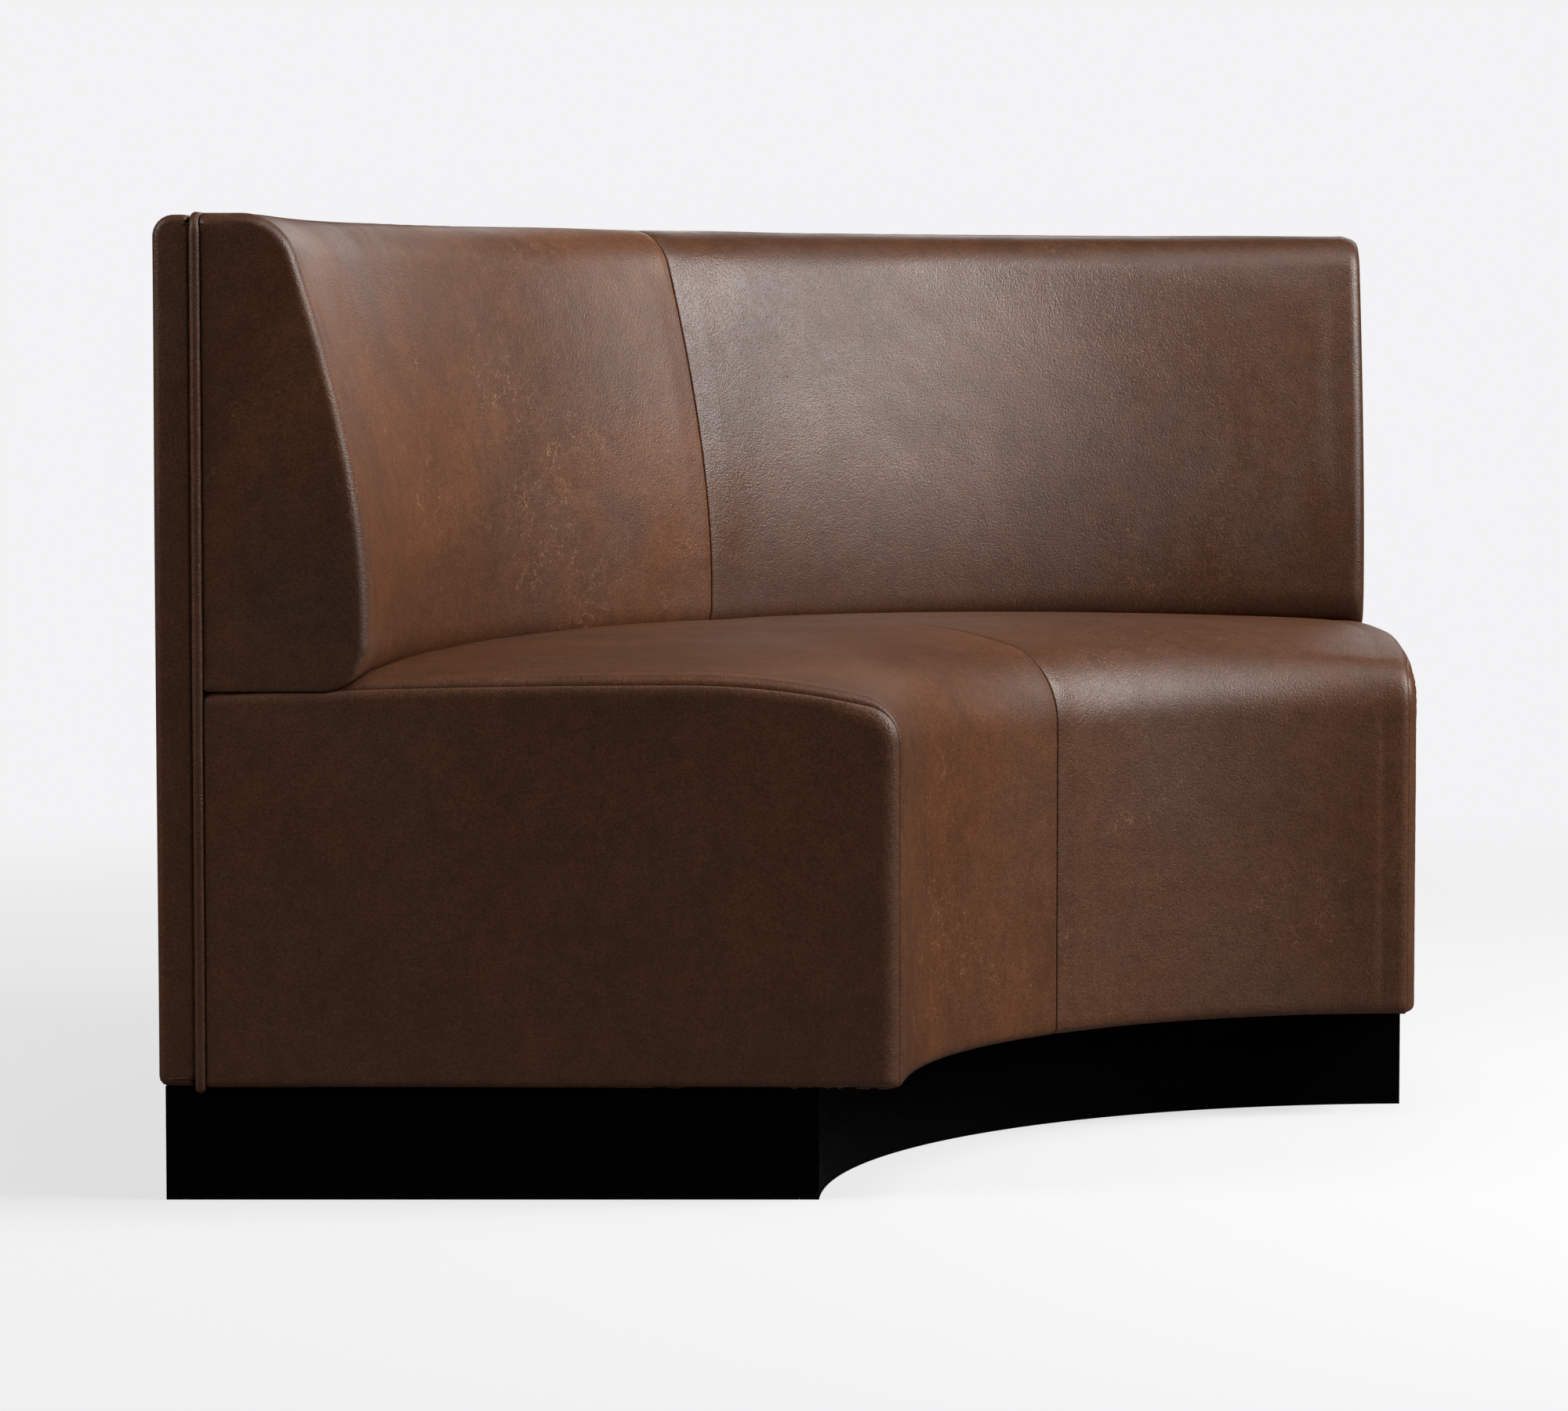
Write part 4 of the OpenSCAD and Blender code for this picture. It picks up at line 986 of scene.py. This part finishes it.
def zinc(name):
    material, tree, shader = new_material(name)
    spangle = noise_at(tree, mapped(tree), 220.0, 3.0)
    color = mix_color(tree, ramp(tree, spangle, 0.3, 0.7), (0.42, 0.41, 0.38), (0.62, 0.61, 0.58))
    tree.links.new(color, shader.inputs["Base Color"])
    shader.inputs["Metallic"].default_value = 1.0
    tree.links.new(ramp(tree, spangle, 0.3, 0.7, 0.28, 0.42), shader.inputs["Roughness"])
    return material


# Studio

# Colours of the backdrop and floor, glow of the floor, share of what the camera sees that shows in gloss,
# light of the room, size of the floor, and distances between which the floor fades into the backdrop
BACKDROP = (0.896, 0.888, 0.905)
FLOOR_PAPER = (0.955, 0.955, 0.960)
FLOOR_TONE = (0.28, 0.28, 0.29)
FLOOR_IN_GLOSS = (0.08, 0.08, 0.08)
FLOOR_GLOW = 0.684
GLOSS_SHARE = 0.05
AMBIENT = 0.045
FLOOR_SIZE = 24
FLOOR_FADE = (1.3, 3.6)


def seen_share(tree, path, strength):
    """Full strength for what the camera sees, also through glass, and a little of it in gloss."""
    clear = math_node(tree, "MAXIMUM", path.outputs["Is Camera Ray"], path.outputs["Is Transmission Ray"])
    gloss = times(tree, path.outputs["Is Glossy Ray"], GLOSS_SHARE)
    return times(tree, math_node(tree, "MAXIMUM", clear, gloss), strength)


def floor_paper():
    """Paper that is lit by the lamps, glows a little and fades into the backdrop further away."""
    material = bpy.data.materials.new("floor_paper")
    material.use_nodes = True
    tree = material.node_tree
    tree.nodes.clear()
    out = node(tree, "ShaderNodeOutputMaterial")
    diffuse = node(tree, "ShaderNodeBsdfDiffuse")
    path = node(tree, "ShaderNodeLightPath")
    lit = math_node(tree, "MAXIMUM", seen_share(tree, path, 1.0), path.outputs["Is Diffuse Ray"])
    tree.links.new(mix_color(tree, lit, FLOOR_IN_GLOSS, FLOOR_TONE), diffuse.inputs["Color"])
    glow = node(tree, "ShaderNodeEmission")
    glow.inputs["Color"].default_value = FLOOR_PAPER + (1,)
    tree.links.new(seen_share(tree, path, FLOOR_GLOW), glow.inputs["Strength"])
    near = node(tree, "ShaderNodeAddShader")
    tree.links.new(diffuse.outputs[0], near.inputs[0])
    tree.links.new(glow.outputs[0], near.inputs[1])
    far = node(tree, "ShaderNodeEmission")
    far.inputs["Color"].default_value = BACKDROP + (1,)
    tree.links.new(seen_share(tree, path, 1.0), far.inputs["Strength"])
    where = node(tree, "ShaderNodeTexCoord")
    length = node(tree, "ShaderNodeVectorMath", operation="LENGTH")
    tree.links.new(where.outputs["Object"], length.inputs[0])
    fade = ramp(tree, length.outputs["Value"], *FLOOR_FADE)
    blend = node(tree, "ShaderNodeMixShader")
    tree.links.new(fade, blend.inputs["Fac"])
    tree.links.new(near.outputs[0], blend.inputs[1])
    tree.links.new(far.outputs[0], blend.inputs[2])
    tree.links.new(blend.outputs[0], out.inputs["Surface"])
    return material


def floor():
    bpy.ops.mesh.primitive_grid_add(x_subdivisions=8, y_subdivisions=8, size=FLOOR_SIZE, location=(0, 0, 0))
    obj = bpy.context.active_object
    obj.name = "floor"
    obj.data.materials.clear()
    obj.data.materials.append(floor_paper())


def world():
    made = bpy.data.worlds.new("studio")
    bpy.context.scene.world = made
    made.use_nodes = True
    tree = made.node_tree
    tree.nodes.clear()
    out = node(tree, "ShaderNodeOutputWorld")
    path = node(tree, "ShaderNodeLightPath")
    seen = node(tree, "ShaderNodeBackground")
    seen.inputs["Color"].default_value = BACKDROP + (1,)
    matt = times(tree, path.outputs["Is Diffuse Ray"], AMBIENT)
    share = math_node(tree, "MAXIMUM", seen_share(tree, path, 1.0), matt)
    tree.links.new(share, seen.inputs["Strength"])
    tree.links.new(seen.outputs[0], out.inputs["Surface"])


def softbox(name, location, target, size, power):
    light = bpy.data.lights.new(name, "AREA")
    light.shape = "RECTANGLE"
    light.size, light.size_y = size
    light.energy = power
    obj = bpy.data.objects.new(name, light)
    bpy.context.scene.collection.objects.link(obj)
    obj.location = location
    aim = Vector(target) - Vector(location)
    obj.rotation_euler = aim.to_track_quat("-Z", "Y").to_euler()


def from_camera(right, ahead, up):
    """A place given beside, beyond and above the arc centre, as the camera sees it."""
    c, s = math.cos(CAM_HEADING), math.sin(CAM_HEADING)
    return (right * c - ahead * s, ARC_Y + right * s + ahead * c, up)


def lights():
    softbox("key", from_camera(2.5, 0.2, 2.7), from_camera(-0.4, 0.7, 0.6), (1.5, 1.5), 128)
    softbox("key_low", from_camera(2.5, -0.7, 1.45), from_camera(-0.4, 0.6, 0.7), (0.9, 0.6), 20)
    softbox("top", from_camera(0.2, 0.2, 3.0), from_camera(-0.1, 0.4, 0.5), (1.6, 1.6), 22)
    softbox("side", from_camera(-3.4, -0.9, 2.2), from_camera(-0.9, 0.0, 0.5), (1.6, 1.6), 40)
    softbox("rim", from_camera(0.2, 3.8, 1.9), from_camera(0.0, 1.0, 0.9), (2.6, 0.8), 13)


def camera():
    data = bpy.data.cameras.new("camera")
    data.sensor_fit = "HORIZONTAL"
    data.sensor_width = 36
    data.lens = CAM_LENS
    data.clip_end = 60
    obj = bpy.data.objects.new("camera", data)
    bpy.context.scene.collection.objects.link(obj)
    obj.location = (CAM_FROM_ARC[0], ARC_Y + CAM_FROM_ARC[1], CAM_H)
    obj.rotation_euler = (math.radians(90) - CAM_PITCH, 0, CAM_HEADING)
    bpy.context.scene.camera = obj


# Assembly

camera()
world()
floor()
lights()

# Hides: place in the noise, share of tan, share of dark clouds, roughness, strength of the scratches, gloss,
# and brightness of the painted shade towards the right, low on the back and on the end faces
HIDE_LOOKS = {
    "seat_left": ((0.0, 0.0, 0.0), 0.42, 0.40, 0.43, 0.70, 0.30),
    "seat_right": ((3.1, 1.7, 0.4), 0.25, 0.45, 0.41, 0.45, 0.44),
    "back_left": ((5.3, 0.6, 1.9), 0.78, 0.45, 0.41, 0.90, 0.5, 1.0, 0.93, 0.82),
    "back_right": ((1.9, 4.2, 3.3), 0.25, 0.62, 0.38, 0.35, 0.5, 0.76, 0.86, 0.90),
    "end": ((7.7, 2.1, 5.2), 0.30, 0.20, 0.43, 0.25, 0.42),
    "outside": ((2.2, 8.1, 0.7), 0.20, 0.45, 0.43, 0.20, 0.42),
    "welt": ((4.4, 3.3, 6.1), 0.20, 0.40, 0.42, 0.10),
}
HIDES = {word: leather("leather_" + word, *values) for word, values in HIDE_LOOKS.items()}

for side, word in ((-1, "left"), (1, "right")):
    seat = seat_leather(side, HIDES["seat_" + word])
    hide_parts("seat_%s_cover" % word, "seat_foam")
    back = back_leather(side, HIDES["back_" + word])
    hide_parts("back_%s_cover" % word, "back_foam", "back_%s_end_padding" % word)
    end = seat_end_leather(side, HIDES["end"])
    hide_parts("seat_%s_end_cover" % word, "seat_%s_end_padding" % word)
    for piece in (seat, back, end):
        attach(piece, "root")

slab = outside_leather(HIDES["outside"])
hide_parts("outside_back_cover", "outside_back_padding")
cord = welt(HIDES["welt"])
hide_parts("welt")
for piece in (slab, cord):
    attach(piece, "root")

# Woods: light and dark colour, stretch of the grain, roughness, strength of the grain, gloss
WOOD_LOOKS = {
    "black_wood": ((0.0014, 0.0009, 0.0007), (0.0005, 0.0004, 0.0003), (9, 9, 170), 0.60, 0.25, 0.04),
    "pine": ((0.62, 0.44, 0.25), (0.45, 0.28, 0.14), (7, 7, 60), 0.62, 0.2),
    "plywood": ((0.66, 0.50, 0.31), (0.52, 0.36, 0.20), (10, 10, 45), 0.58, 0.15),
}
FINISHES = {name: grained(name, *values) for name, values in WOOD_LOOKS.items()}
FINISHES["foam"] = cellular("foam", (0.86, 0.78, 0.52), (0.70, 0.61, 0.37), 340.0, 0.95)
FINISHES["wadding"] = cellular("wadding", (0.90, 0.88, 0.83), (0.78, 0.75, 0.69), 150.0, 0.97)
FINISHES["zinc_steel"] = zinc("zinc_steel")
SLOTS = {part["node"]: part["material_slot"] for part in frame["record"]["subparts"]}
for name, obj in frame["nodes"].items():
    finish = FINISHES.get(SLOTS.get(name))
    if finish and obj.type == "MESH":
        obj.data.materials.clear()
        obj.data.materials.append(finish)

bpy.context.scene.view_settings.view_transform = "Standard"
